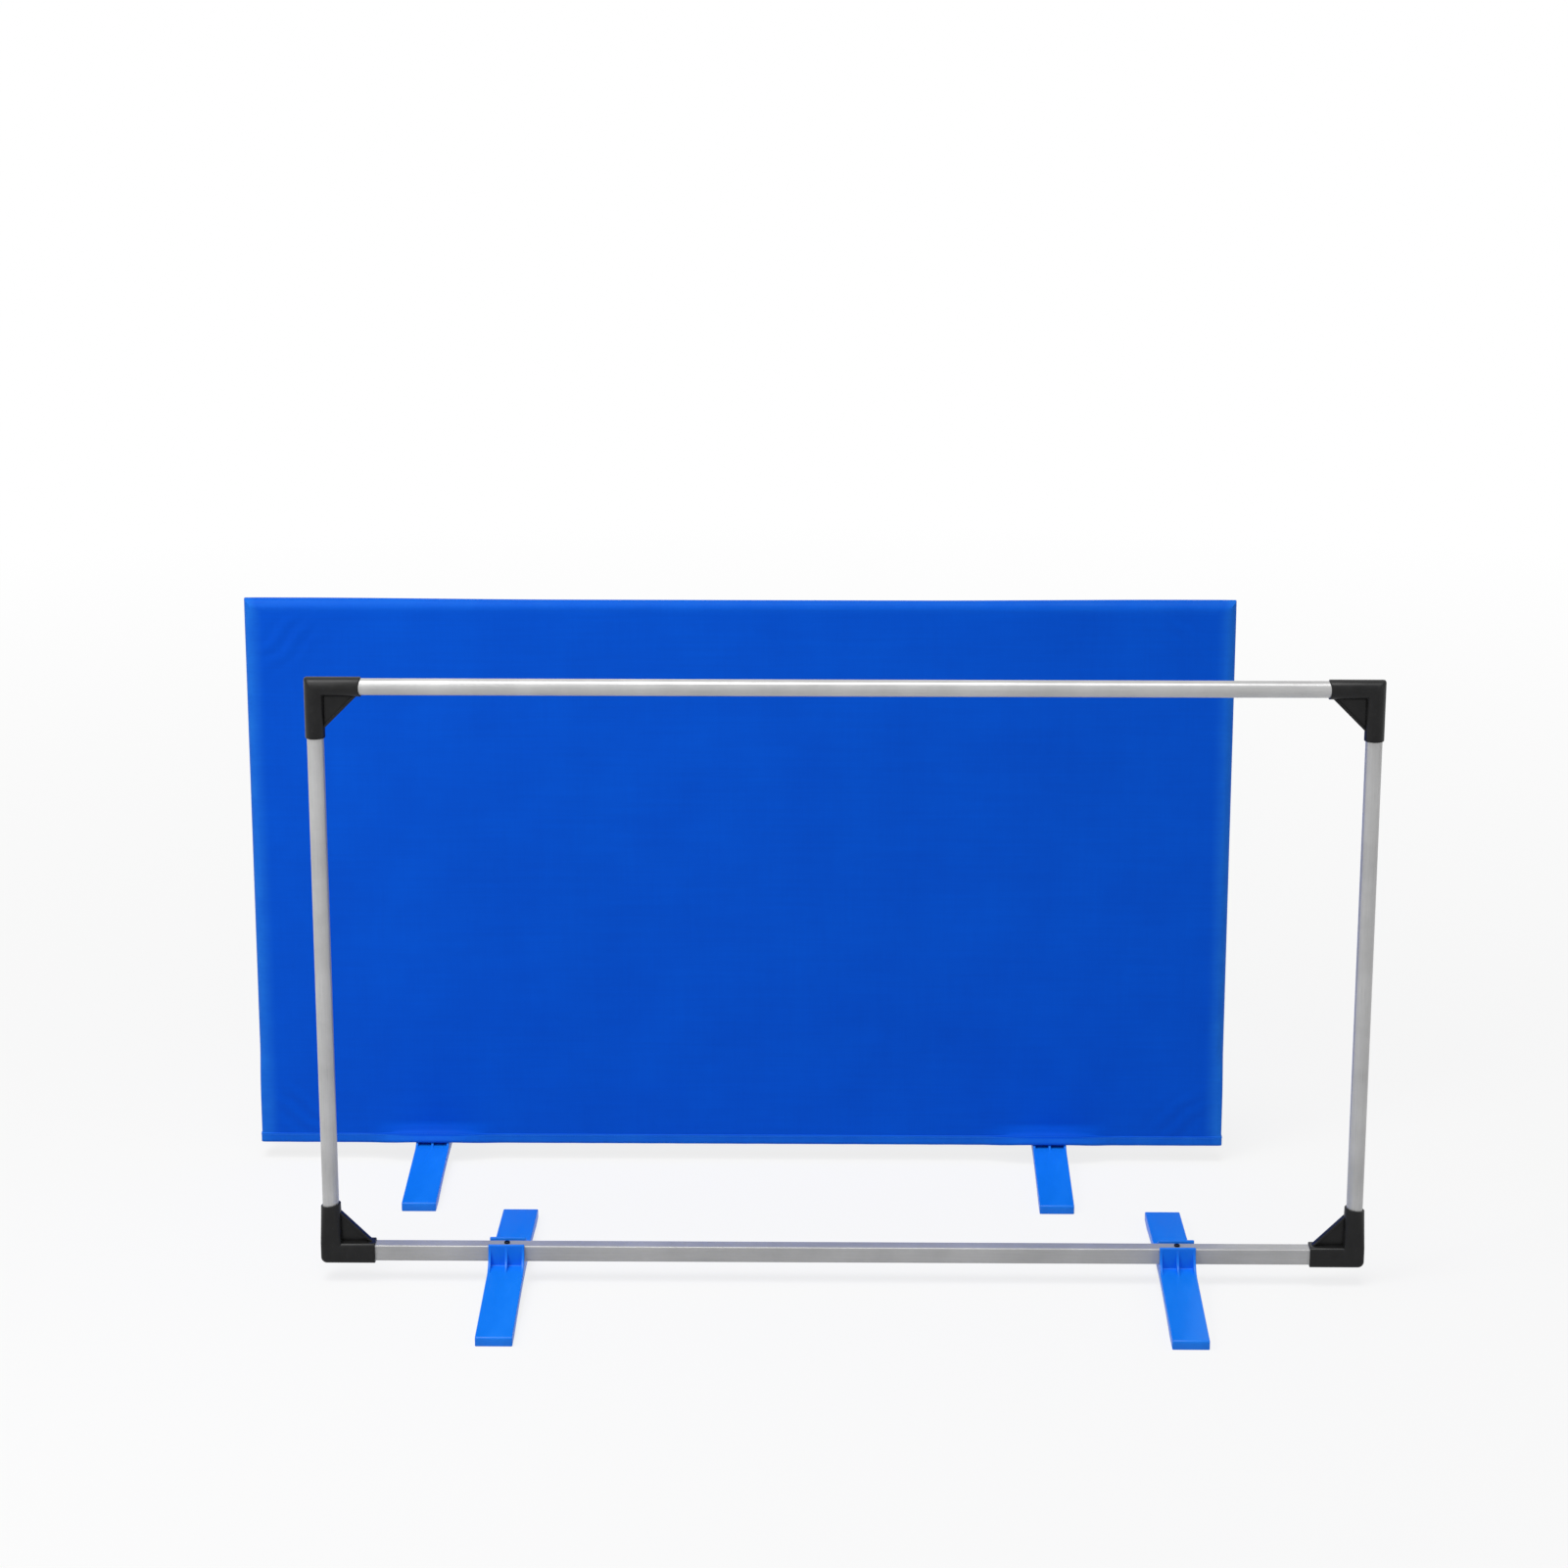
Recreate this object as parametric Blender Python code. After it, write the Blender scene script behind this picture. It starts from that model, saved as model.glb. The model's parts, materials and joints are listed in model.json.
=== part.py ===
"""Table tennis barriers in a row of two: one wearing its cloth cover, one bare in front of it.

Both are the same knock-down barrier: a frame of aluminium tubes pushed into four moulded
corners, on two moulded feet that are screwed to the bottom rail. Metres, +Z up, +X along the
frames, -Y towards the viewer, origin on the floor below the middle of the row.
"""

import math

import bmesh
import bpy

# Overall frame
FRAME_WIDTH = 1.400
FRAME_HEIGHT = 0.808
UNDERSIDE_HEIGHT = 0.027

# Row of two barriers
ROW_SPACING = 0.470
ROW_STAGGER = 0.146

# Fits
TOUCH_GAP = 0.0003
CUT_OVERRUN = 0.004
WELD_DISTANCE = 0.00001
INNER_CORNER_SNAP = 0.0002

# Round tubes and square rail
TUBE_DIAMETER = 0.022
TUBE_WALL = 0.0012
RAIL_SIZE = 0.022
RAIL_WALL = 0.0012
RAIL_CORNER_RADIUS = 0.0022

# Corner sockets
TOP_SOCKET_SIZE = 0.026
BOTTOM_SOCKET_SIZE = 0.0285
BOTTOM_EDGE_RADIUS = 0.005
BOTTOM_MOUTH_SIZE = 0.0268
CORNER_BLOCK = 0.031
TOP_ARM_ACROSS = 0.074
TOP_ARM_DOWN = 0.081
BOTTOM_ARM_ACROSS = 0.073
BOTTOM_ARM_UP = 0.081
SOCKET_LIP = 0.0009
TOP_MOUTH_SCALLOP = 0.0030
BOTTOM_MOUTH_SLANT = 0.0022
TOP_CORNER_RADIUS = 0.0035
BOTTOM_CORNER_RADIUS = 0.0080

# Webs between the sockets of a corner
WEB_LEG = 0.041
WEB_THICKNESS = 0.0032
WEB_RIM_WIDTH = 0.0034
WEB_RIM_THICKNESS = 0.0100
WEB_EMBED = 0.0013
WEB_RIM_EDGE = 0.0006

# Feet
FOOT_SPACING = 0.900
FOOT_LENGTH = 0.450
FOOT_WIDTH = 0.0485
FOOT_TIP_HEIGHT = 0.013
FOOT_ROOT_HEIGHT = 0.0262
FOOT_TIP_RADIUS = 0.0036
FOOT_EDGE_RADIUS = 0.0015
FOOT_PAD_LENGTH = 0.036
FOOT_ARCH_RISE = 0.012
SADDLE_WALL = 0.0042
SADDLE_WALL_ABOVE_RAIL = 0.0032
RIB_REACH = 0.030
RIB_THICKNESS = 0.0036
RIB_POCKET_SINK = 0.0004

# Cored underside of a foot
CORE_SKIRT = 0.0040
CORE_SKIN = 0.0040
CORE_START = 0.038
CORE_LENGTH = 0.070
CORE_RIB = 0.0045
CORES_PER_ARM = 2

# Foot screws, washers and nuts
SCREW_DIAMETER = 0.0040
SCREW_HEAD_DIAMETER = 0.0078
SCREW_HEAD_HEIGHT = 0.0024
SCREW_HEAD_CROWN = 0.0009
SCREW_SOCKET_WIDTH = 0.0025
SCREW_SOCKET_DEPTH = 0.0013
SCREW_POINT = 0.0006
SCREW_BEYOND_NUT = 0.0018
WASHER_DIAMETER = 0.0090
WASHER_THICKNESS = 0.0008
NUT_WIDTH = 0.0070
NUT_HEIGHT = 0.0032
NUT_POCKET_DIAMETER = 0.0120
NUT_POCKET_DEPTH = 0.0085

# Cloth cover
COVER_CLOTH = 0.0010
COVER_EASE = 0.0005
COVER_HEM_HEIGHT = 0.0255
COVER_HEM_RISE_AT_FOOT = 0.0065
COVER_FOOT_SPREAD = 0.075
COVER_LEAN_HEIGHT = 0.150
COVER_SOCKET_BLEND = 0.022
COVER_SPREAD_SHARES = (1 / 3, 2 / 3, 1)

# Facets
ROUND_FACETS = 24
SMALL_FACETS = 16
ELBOW_STEPS = 4
RIB_STEPS = 8
TIP_STEPS = 3
ARCH_STEPS = 10
FOLD_STEPS = 8
EDGE_SEGMENTS = 2
SQUARE_FOLD_POWER = 8.0
ROUND_FOLD_POWER = 2.0
SHARP_ANGLE = math.radians(38)

# Colours and finishes
ALUMINIUM = ("aluminium", (0.62, 0.63, 0.64), 0.32, 1.0)
BLACK_PLASTIC = ("black_plastic", (0.016, 0.016, 0.017), 0.48, 0.0)
BLUE_PLASTIC = ("blue_plastic", (0.005, 0.180, 0.800), 0.38, 0.0)
BLUE_CLOTH = ("blue_cloth", (0.003, 0.085, 0.580), 0.62, 0.0)
BLACK_STEEL = ("black_steel", (0.020, 0.020, 0.022), 0.40, 1.0)
ZINC_STEEL = ("zinc_steel", (0.520, 0.530, 0.540), 0.35, 1.0)

# Places that follow from the sizes above
TOP_HALF = TOP_SOCKET_SIZE / 2
BOTTOM_HALF = BOTTOM_SOCKET_SIZE / 2
TUBE_RADIUS = TUBE_DIAMETER / 2
RAIL_HALF = RAIL_SIZE / 2
UPRIGHT_X = FRAME_WIDTH / 2 - BOTTOM_HALF
RAIL_Z = UNDERSIDE_HEIGHT + BOTTOM_HALF
TOP_TUBE_Z = UNDERSIDE_HEIGHT + FRAME_HEIGHT - TOP_HALF
RAIL_TOP_Z = RAIL_Z + RAIL_HALF
SADDLE_FLOOR_Z = RAIL_Z - RAIL_HALF - TOUCH_GAP
SADDLE_INNER = RAIL_HALF + TOUCH_GAP
SADDLE_OUTER = SADDLE_INNER + SADDLE_WALL
SADDLE_TOP_Z = RAIL_TOP_Z + SADDLE_WALL_ABOVE_RAIL
FOOT_REACH = FOOT_LENGTH / 2
NUT_POCKET_Z = FOOT_ARCH_RISE + NUT_POCKET_DEPTH


def clear_scene():
    for thing in list(bpy.data.objects):
        bpy.data.objects.remove(thing, do_unlink=True)


def finish(name, colour, roughness, metallic):
    shade = bpy.data.materials.get(name)
    if shade is None:
        shade = bpy.data.materials.new(name)
        shade.use_nodes = True
        shader = shade.node_tree.nodes["Principled BSDF"]
        shader.inputs["Base Color"].default_value = (*colour, 1.0)
        shader.inputs["Roughness"].default_value = roughness
        shader.inputs["Metallic"].default_value = metallic
    return shade


def new_mesh(name, form, look):
    """Turns a bmesh into a mesh that is closed, faces outwards and has its finish."""
    bmesh.ops.recalc_face_normals(form, faces=form.faces)
    mesh = bpy.data.meshes.new(name)
    form.to_mesh(mesh)
    form.free()
    mesh.materials.append(finish(*look))
    mesh.shade_smooth()
    mesh.set_sharp_from_angle(angle=SHARP_ANGLE)
    return mesh


def new_object(name, mesh, parent, place=(0, 0, 0)):
    thing = bpy.data.objects.new(name, mesh)
    thing.parent = parent
    thing.location = place
    bpy.context.collection.objects.link(thing)
    return thing


def joined(mesh, tools, operation):
    """Returns a mesh cut by, or united with, each tool mesh in turn."""
    body = bpy.data.objects.new("body", mesh)
    bpy.context.collection.objects.link(body)
    helpers = []
    for tool in tools:
        helper = bpy.data.objects.new("tool", tool)
        bpy.context.collection.objects.link(helper)
        step = body.modifiers.new(operation, "BOOLEAN")
        step.operation = operation
        step.solver = "EXACT"
        step.object = helper
        helpers.append(helper)
    graph = bpy.context.evaluated_depsgraph_get()
    result = bpy.data.meshes.new_from_object(body.evaluated_get(graph))
    result.name = mesh.name
    for helper in helpers:
        bpy.data.objects.remove(helper)
    bpy.data.objects.remove(body)
    result.shade_smooth()
    result.set_sharp_from_angle(angle=SHARP_ANGLE)
    return result


# Sections are lists of (across, deep) pairs round an axis, all with the same start and turn.

def round_section(radius, facets=ROUND_FACETS):
    turns = [(index + 0.5) * math.tau / facets for index in range(facets)]
    return [(radius * math.cos(turn), radius * math.sin(turn)) for turn in turns]


def square_section(half, corner_radius, facets=ROUND_FACETS):
    """A square with rounded corners, with the same number of points as a round section."""
    per_corner = facets // 4
    points = []
    for corner in range(4):
        quarter = corner * math.pi / 2
        middle = quarter + math.pi / 4
        centre = (half - corner_radius) * math.sqrt(2)
        for index in range(per_corner):
            turn = quarter + index / (per_corner - 1) * math.pi / 2
            across = centre * math.cos(middle) + corner_radius * math.cos(turn)
            deep = centre * math.sin(middle) + corner_radius * math.sin(turn)
            points.append((across, deep))
    return points


def scaled_section(section, factor):
    return [(across * factor, deep * factor) for across, deep in section]


def hexagon_section(width, facets):
    """A hexagon across its flats, with its outline split into the given number of points."""
    radius = width / math.sqrt(3)
    corners = [
        (radius * math.cos(side * math.pi / 3), radius * math.sin(side * math.pi / 3))
        for side in range(6)
    ]
    points = []
    for index in range(facets):
        along = index / facets * 6
        side = int(along)
        first, second = corners[side], corners[(side + 1) % 6]
        share = along - side
        points.append((
            first[0] + (second[0] - first[0]) * share,
            first[1] + (second[1] - first[1]) * share,
        ))
    return points


def skin(form, rings, closed_loop=False):
    """Covers a row of rings with faces, and caps both ends unless the row is a loop."""
    rows = [[form.verts.new(point) for point in ring] for ring in rings]
    pairs = list(zip(rows, rows[1:]))
    if closed_loop:
        pairs.append((rows[-1], rows[0]))
    for near, far in pairs:
        for index in range(len(near)):
            after = (index + 1) % len(near)
            form.faces.new((near[index], near[after], far[after], far[index]))
    if not closed_loop:
        form.faces.new(rows[0])
        form.faces.new(rows[-1])


def inset_outline(outline, distance):
    """Moves a closed outline inwards; the outline runs clockwise or anticlockwise."""
    area = sum(
        a[0] * b[1] - b[0] * a[1] for a, b in zip(outline, outline[1:] + outline[:1])
    )
    inwards = math.copysign(distance, area)
    moved = []
    for index, point in enumerate(outline):
        before = outline[index - 1]
        after = outline[(index + 1) % len(outline)]
        normals = []
        for start, end in ((before, point), (point, after)):
            run, climb = end[0] - start[0], end[1] - start[1]
            length = math.hypot(run, climb)
            normals.append((-climb / length, run / length))
        (ax, ay), (bx, by) = normals
        spread = 1 + ax * bx + ay * by
        moved.append((
            point[0] + inwards * (ax + bx) / spread,
            point[1] + inwards * (ay + by) / spread,
        ))
    return moved


def prism(outline, axis, low, high, edge_radius=0.0):
    """Extrudes a closed outline along an axis, with its long edges rounded if asked.

    The outline lists the other two coordinates, and may have inner corners.
    """
    levels = [(low, 0.0), (high, 0.0)]
    if edge_radius > 0:
        turns = [step / EDGE_SEGMENTS * math.pi / 2 for step in range(EDGE_SEGMENTS + 1)]
        rounding = [
            (edge_radius * (1 - math.cos(turn)), edge_radius * (1 - math.sin(turn)))
            for turn in turns
        ]
        levels = [(low + along, inset) for along, inset in rounding]
        levels += [(high - along, inset) for along, inset in rounding[::-1]]
    form = bmesh.new()
    rings = []
    for level, inset in levels:
        ring = inset_outline(outline, inset) if inset else outline
        if axis == "X":
            rings.append([(level, first, second) for first, second in ring])
        elif axis == "Y":
            rings.append([(first, level, second) for first, second in ring])
        else:
            rings.append([(first, second, level) for first, second in ring])
    skin(form, rings)
    return form


def hollow_bar(name, outer, inner, start, end, axis):
    """A straight tube along X or Z, centred on its own axis."""
    form = bmesh.new()
    rings = []
    for section, level in ((outer, start), (outer, end), (inner, end), (inner, start)):
        if axis == "X":
            rings.append([(level, deep, across) for across, deep in section])
        else:
            rings.append([(across, deep, level) for across, deep in section])
    skin(form, rings, closed_loop=True)
    return new_mesh(name, form, ALUMINIUM)


# Corners. A corner is drawn in its own plane: "in" runs towards the middle of the frame along
# the horizontal tube, "up" runs towards the middle along the upright, and the two tube axes
# cross at zero.

def elbow_reach(turn, size, radius):
    """Distance from an elbow's inner corner to its outer outline, a square with one round."""
    flat = size - radius
    if math.tan(turn) * size <= flat:
        return size / math.cos(turn)
    if size <= flat * math.tan(turn):
        return size / math.sin(turn)
    along = flat * (math.sin(turn) + math.cos(turn))
    return along + math.sqrt(along ** 2 - 2 * flat ** 2 + radius ** 2)


def elbow_rings(section, half, radius):
    """Rings that fan round the inner corner from the horizontal arm to the upright arm."""
    size = half * 2
    start = math.atan((size - radius) / size)
    opening = math.pi / 2 - start * 2
    round_turns = [start + step / ELBOW_STEPS * opening for step in range(ELBOW_STEPS + 1)]
    round_turns = [0.0] + round_turns + [math.pi / 2]
    last = len(round_turns) - 1
    rings = []
    for step, round_turn in enumerate(round_turns):
        even_turn = step / last * math.pi / 2
        ring = []
        for across, deep in section:
            away = half - across if half - across > INNER_CORNER_SNAP else 0.0
            turn = even_turn + (round_turn - even_turn) * away / size
            reach = away * elbow_reach(turn, size, radius) / size
            ring.append((half - reach * math.sin(turn), half - reach * math.cos(turn), deep))
        rings.append(ring)
    return rings


def arm_ring(section, level, upright, half, scallop=0.0, slant=0.0):
    """One ring across an arm, with its mouth scalloped at front and back or slanted."""
    ring = []
    for across, deep in section:
        place = level - scallop * (deep / half) ** 2 + slant * across / half
        if upright:
            ring.append((across, place, deep))
        else:
            ring.append((place, across, deep))
    return ring


def socket_mouth(section, bore, half, mouth, floor, upright, scallop, slant):
    """Rings of a socket from its outer wall over the lip to the floor of its bore."""
    lip_section = scaled_section(section, (half - SOCKET_LIP) / half)
    return [
        arm_ring(section, mouth - SOCKET_LIP, upright, half, scallop, slant),
        arm_ring(lip_section, mouth, upright, half, scallop, slant),
        arm_ring(bore, mouth, upright, half, scallop, slant),
        arm_ring(bore, floor, upright, half),
    ]


def corner_mesh(name, side, rise, half, radius, across_arm, upright_arm):
    """A moulded corner: elbow with two sockets, united with its web.

    side is -1 on the left and 1 on the right, rise is -1 for a top corner and 1 for a bottom
    one. Each arm is (section, mouth section, mouth half, bore, length, scallop, slant).
    """
    floor = CORNER_BLOCK - half
    section, mouth_section, mouth_half, bore, length, scallop, slant = across_arm
    rings = socket_mouth(
        mouth_section, bore, mouth_half, length - half, floor, False, scallop, slant
    )[::-1]
    rings += elbow_rings(section, half, radius)
    section, mouth_section, mouth_half, bore, length, scallop, slant = upright_arm
    rings += socket_mouth(
        mouth_section, bore, mouth_half, length - half, floor, True, scallop, slant
    )

    elbow = bmesh.new()
    skin(elbow, [[(-side * a, deep, rise * b) for a, b, deep in ring] for ring in rings])
    bmesh.ops.remove_doubles(elbow, verts=elbow.verts, dist=WELD_DISTANCE)

    inner = half - WEB_EMBED
    tip = half + WEB_LEG
    rim_run = WEB_RIM_WIDTH * math.sqrt(2)
    plate_tip = tip - rim_run / 2
    rim_far = tip + WEB_EMBED
    rim_near = rim_far - rim_run
    plate_outline = [(inner, inner), (plate_tip, inner), (inner, plate_tip)]
    rim_outline = [
        (rim_far, inner),
        (inner, rim_far),
        (inner, rim_near),
        (rim_near, inner),
    ]
    webs = []
    for outline, thickness, edge in (
        (plate_outline, WEB_THICKNESS, 0.0),
        (rim_outline, WEB_RIM_THICKNESS, WEB_RIM_EDGE),
    ):
        placed = [(-side * a, rise * b) for a, b in outline]
        web = prism(placed, "Y", -thickness / 2, thickness / 2, edge)
        webs.append(new_mesh("web", web, BLACK_PLASTIC))
    body = new_mesh(name, elbow, BLACK_PLASTIC)
    return joined(body, webs, "UNION")


def top_corner_mesh(name, side):
    section = round_section(TOP_HALF)
    bore = round_section(TUBE_RADIUS + TOUCH_GAP)
    across_arm = (section, section, TOP_HALF, bore, TOP_ARM_ACROSS, TOP_MOUTH_SCALLOP, 0.0)
    upright_arm = (section, section, TOP_HALF, bore, TOP_ARM_DOWN, 0.0, 0.0)
    return corner_mesh(
        name, side, -1, TOP_HALF, TOP_CORNER_RADIUS, across_arm, upright_arm
    )


def bottom_corner_mesh(name, side):
    square = square_section(BOTTOM_HALF, BOTTOM_EDGE_RADIUS)
    mouth = round_section(BOTTOM_MOUTH_SIZE / 2)
    rail_bore = square_section(RAIL_HALF + TOUCH_GAP, RAIL_CORNER_RADIUS + TOUCH_GAP)
    tube_bore = round_section(TUBE_RADIUS + TOUCH_GAP)
    across_arm = (square, square, BOTTOM_HALF, rail_bore, BOTTOM_ARM_ACROSS, 0.0, 0.0)
    upright_arm = (
        square, mouth, BOTTOM_MOUTH_SIZE / 2, tube_bore, BOTTOM_ARM_UP, 0.0,
        BOTTOM_MOUTH_SLANT,
    )
    return corner_mesh(
        name, side, 1, BOTTOM_HALF, BOTTOM_CORNER_RADIUS, across_arm, upright_arm
    )


# Feet. The side outline lists (y, z) of the half in front, and is mirrored for the other half.

def arm_top(reach):
    """Height of the top of a foot's arm at a distance from the rail."""
    share = (reach - SADDLE_OUTER) / (FOOT_REACH - SADDLE_OUTER)
    return FOOT_ROOT_HEIGHT + (FOOT_TIP_HEIGHT - FOOT_ROOT_HEIGHT) * share


def rib_reach(height):
    """Distance of the hollow curve of a rib from the rail at a height."""
    toe = SADDLE_OUTER + RIB_REACH
    low = arm_top(toe)
    share = 1 - (height - low) / (SADDLE_TOP_Z - low)
    return toe - RIB_REACH * math.sqrt(max(0.0, 1 - share ** 2))


def foot_half_outline():
    """From the top of the saddle over rib and arm round to the arch."""
    points = []
    toe = SADDLE_OUTER + RIB_REACH
    low = arm_top(toe)
    for step in range(RIB_STEPS + 1):
        turn = step / RIB_STEPS * math.pi / 2
        reach = toe - RIB_REACH * math.cos(turn)
        height = SADDLE_TOP_Z - (SADDLE_TOP_Z - low) * math.sin(turn)
        points.append((reach, height))
    centre = FOOT_REACH - FOOT_TIP_RADIUS
    for step in range(TIP_STEPS + 1):
        turn = math.pi / 2 * (1 - step / TIP_STEPS)
        reach = centre + FOOT_TIP_RADIUS * math.cos(turn)
        drop = FOOT_TIP_RADIUS * (1 - math.sin(turn))
        points.append((reach, arm_top(centre) - drop))
    points.append((FOOT_REACH, 0.0))
    heel = FOOT_REACH - FOOT_PAD_LENGTH
    points.append((heel, 0.0))
    for step in range(1, ARCH_STEPS // 2):
        reach = heel * (1 - step / (ARCH_STEPS // 2))
        points.append((reach, FOOT_ARCH_RISE * (1 - (reach / heel) ** 2)))
    return points


def foot_mesh(name):
    front = foot_half_outline()
    outline = [(-reach, height) for reach, height in front[::-1]]
    outline += front
    outline.append((0.0, FOOT_ARCH_RISE))
    half = FOOT_WIDTH / 2
    body = new_mesh(name, prism(outline, "X", -half, half, FOOT_EDGE_RADIUS), BLUE_PLASTIC)

    toe = SADDLE_OUTER + RIB_REACH
    above = SADDLE_TOP_Z + CUT_OVERRUN
    channel = [
        (-SADDLE_INNER, SADDLE_FLOOR_Z),
        (SADDLE_INNER, SADDLE_FLOOR_Z),
        (SADDLE_INNER, above),
        (-SADDLE_INNER, above),
    ]
    cutters = [prism(channel, "X", -half - CUT_OVERRUN, half + CUT_OVERRUN)]
    for facing in (-1, 1):
        pocket = [
            (facing * SADDLE_OUTER, arm_top(SADDLE_OUTER) - RIB_POCKET_SINK),
            (facing * toe, arm_top(toe)),
            (facing * toe, above),
            (facing * SADDLE_OUTER, above),
        ]
        for start, end in (
            (-half + RIB_THICKNESS, -RIB_THICKNESS / 2),
            (RIB_THICKNESS / 2, half - RIB_THICKNESS),
        ):
            cutters.append(prism(pocket, "X", start, end))
        for core in range(CORES_PER_ARM):
            near = CORE_START + core * (CORE_LENGTH + CORE_RIB)
            far = near + CORE_LENGTH
            hollow = [
                (facing * near, -CUT_OVERRUN),
                (facing * far, -CUT_OVERRUN),
                (facing * far, arm_top(far) - CORE_SKIN),
                (facing * near, arm_top(near) - CORE_SKIN),
            ]
            cutters.append(prism(hollow, "X", -half + CORE_SKIRT, half - CORE_SKIRT))
    bore = round_section(SCREW_DIAMETER / 2 + TOUCH_GAP, SMALL_FACETS)
    cutters.append(prism(bore, "Z", -CUT_OVERRUN, SADDLE_FLOOR_Z + CUT_OVERRUN))
    recess = round_section(NUT_POCKET_DIAMETER / 2, SMALL_FACETS)
    cutters.append(prism(recess, "Z", -CUT_OVERRUN, NUT_POCKET_Z))
    tools = [new_mesh("cut", cutter, BLUE_PLASTIC) for cutter in cutters]
    return joined(body, tools, "DIFFERENCE")


# Screws, washers and nuts, drawn round their own axis with the seat at zero.

def screw_length():
    """From the seat on the rail down through rail, saddle, washer and nut."""
    nut_bottom = NUT_POCKET_Z - 2 * TOUCH_GAP - WASHER_THICKNESS - NUT_HEIGHT
    return RAIL_TOP_Z + TOUCH_GAP - nut_bottom + SCREW_BEYOND_NUT


def screw_mesh():
    form = bmesh.new()
    end = -screw_length()
    head = SCREW_HEAD_DIAMETER / 2
    shank = SCREW_DIAMETER / 2
    profile = (
        (shank - SCREW_POINT, end),
        (shank, end + SCREW_POINT),
        (shank, 0.0),
        (head, 0.0),
        (head, SCREW_HEAD_HEIGHT - SCREW_HEAD_CROWN),
        (head - SCREW_HEAD_CROWN, SCREW_HEAD_HEIGHT),
    )
    skin(form, [
        [(across, deep, level) for across, deep in round_section(radius, SMALL_FACETS)]
        for radius, level in profile
    ])
    screw = new_mesh("foot_screw", form, BLACK_STEEL)
    socket = hexagon_section(SCREW_SOCKET_WIDTH, 6)
    floor = SCREW_HEAD_HEIGHT - SCREW_SOCKET_DEPTH
    key = prism(socket, "Z", floor, SCREW_HEAD_HEIGHT + CUT_OVERRUN)
    return joined(screw, [new_mesh("key", key, BLACK_STEEL)], "DIFFERENCE")


def ring_mesh(name, outline, thickness):
    """A flat ring round a foot screw, hanging down from its seat."""
    form = bmesh.new()
    hole = round_section(SCREW_DIAMETER / 2 + TOUCH_GAP, SMALL_FACETS)
    skin(form, [
        [(across, deep, level) for across, deep in section]
        for section, level in (
            (outline, 0.0), (outline, -thickness), (hole, -thickness), (hole, 0.0)
        )
    ], closed_loop=True)
    return new_mesh(name, form, ZINC_STEEL)


# Cover. Its cloth runs over the top tube and round both uprights as one fold, mitred at the
# top corners, between a front and a back sheet. All half depths here are of its inner face.

def foot_weight(x):
    """1 where the cloth passes a foot, fading to 0 beside it."""
    beside = abs(abs(x) - FOOT_SPACING / 2) - FOOT_WIDTH / 2 - COVER_EASE
    share = min(max(beside / COVER_FOOT_SPREAD, 0.0), 1.0)
    return (1 + math.cos(math.pi * share)) / 2


def cover_hem_height(x):
    return COVER_HEM_HEIGHT + COVER_HEM_RISE_AT_FOOT * foot_weight(x)


def cover_half_depth(x, z):
    """Half depth inside the cover: narrow over the tubes, wider over sockets and feet."""
    socket_edge = UPRIGHT_X + TOP_HALF - TOP_ARM_ACROSS - COVER_SOCKET_BLEND
    over_socket = min(max((abs(x) - socket_edge) / COVER_SOCKET_BLEND, 0.0), 1.0)
    top = TUBE_RADIUS + (TOP_HALF - TUBE_RADIUS) * over_socket + COVER_EASE
    bottom = BOTTOM_HALF + COVER_EASE
    share = (z - COVER_HEM_HEIGHT) / (TOP_TUBE_Z - COVER_HEM_HEIGHT)
    plain = bottom + (top - bottom) * share
    hem_z = cover_hem_height(x)
    at_hem = rib_reach(hem_z) + COVER_EASE - plain
    at_wall = SADDLE_OUTER + COVER_EASE - plain
    if z <= SADDLE_TOP_Z:
        climb = (z - hem_z) / (SADDLE_TOP_Z - hem_z)
        extra = at_hem + (at_wall - at_hem) * climb
    else:
        climb = min((z - SADDLE_TOP_Z) / COVER_LEAN_HEIGHT, 1.0)
        extra = at_wall * (1 - climb)
    return plain + max(extra, 0.0) * foot_weight(x)


def fold_point(half, turn, power):
    """A point of the fold's half section: how far out and how deep, round or squarish."""
    out = half * abs(math.sin(turn)) ** (2 / power)
    deep = half * abs(math.cos(turn)) ** (2 / power)
    return out, -deep if math.cos(turn) > 0 else deep


def cover_columns():
    """Places along the frame where the sheets have a column of points."""
    foot = FOOT_SPACING / 2
    flank = FOOT_WIDTH / 2 + COVER_EASE
    socket = UPRIGHT_X + TOP_HALF - TOP_ARM_ACROSS
    spreads = [COVER_FOOT_SPREAD * share for share in COVER_SPREAD_SHARES]
    right = [foot - flank - spread for spread in spreads[::-1]]
    right += [foot - flank, foot + flank]
    right += [foot + flank + spread for spread in spreads[:-1]]
    right += [socket - COVER_SOCKET_BLEND, socket, UPRIGHT_X]
    return [-x for x in right[::-1]] + [0.0] + right


def cover_levels():
    """Heights of the rows of points above the hem."""
    mouth = UNDERSIDE_HEIGHT + BOTTOM_ARM_UP
    lean = SADDLE_TOP_Z + COVER_LEAN_HEIGHT
    middle = (lean + TOP_TUBE_Z) / 2
    top_mouth = TOP_TUBE_Z + TOP_HALF - TOP_ARM_DOWN
    return [SADDLE_TOP_Z, mouth, mouth + COVER_SOCKET_BLEND, lean, middle, top_mouth, TOP_TUBE_Z]


def fold_power(z):
    """How square the side fold is: square over the bottom corners, round above them."""
    mouth = UNDERSIDE_HEIGHT + BOTTOM_ARM_UP
    share = min(max((z - mouth) / COVER_SOCKET_BLEND, 0.0), 1.0)
    return SQUARE_FOLD_POWER + (ROUND_FOLD_POWER - SQUARE_FOLD_POWER) * share


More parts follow.
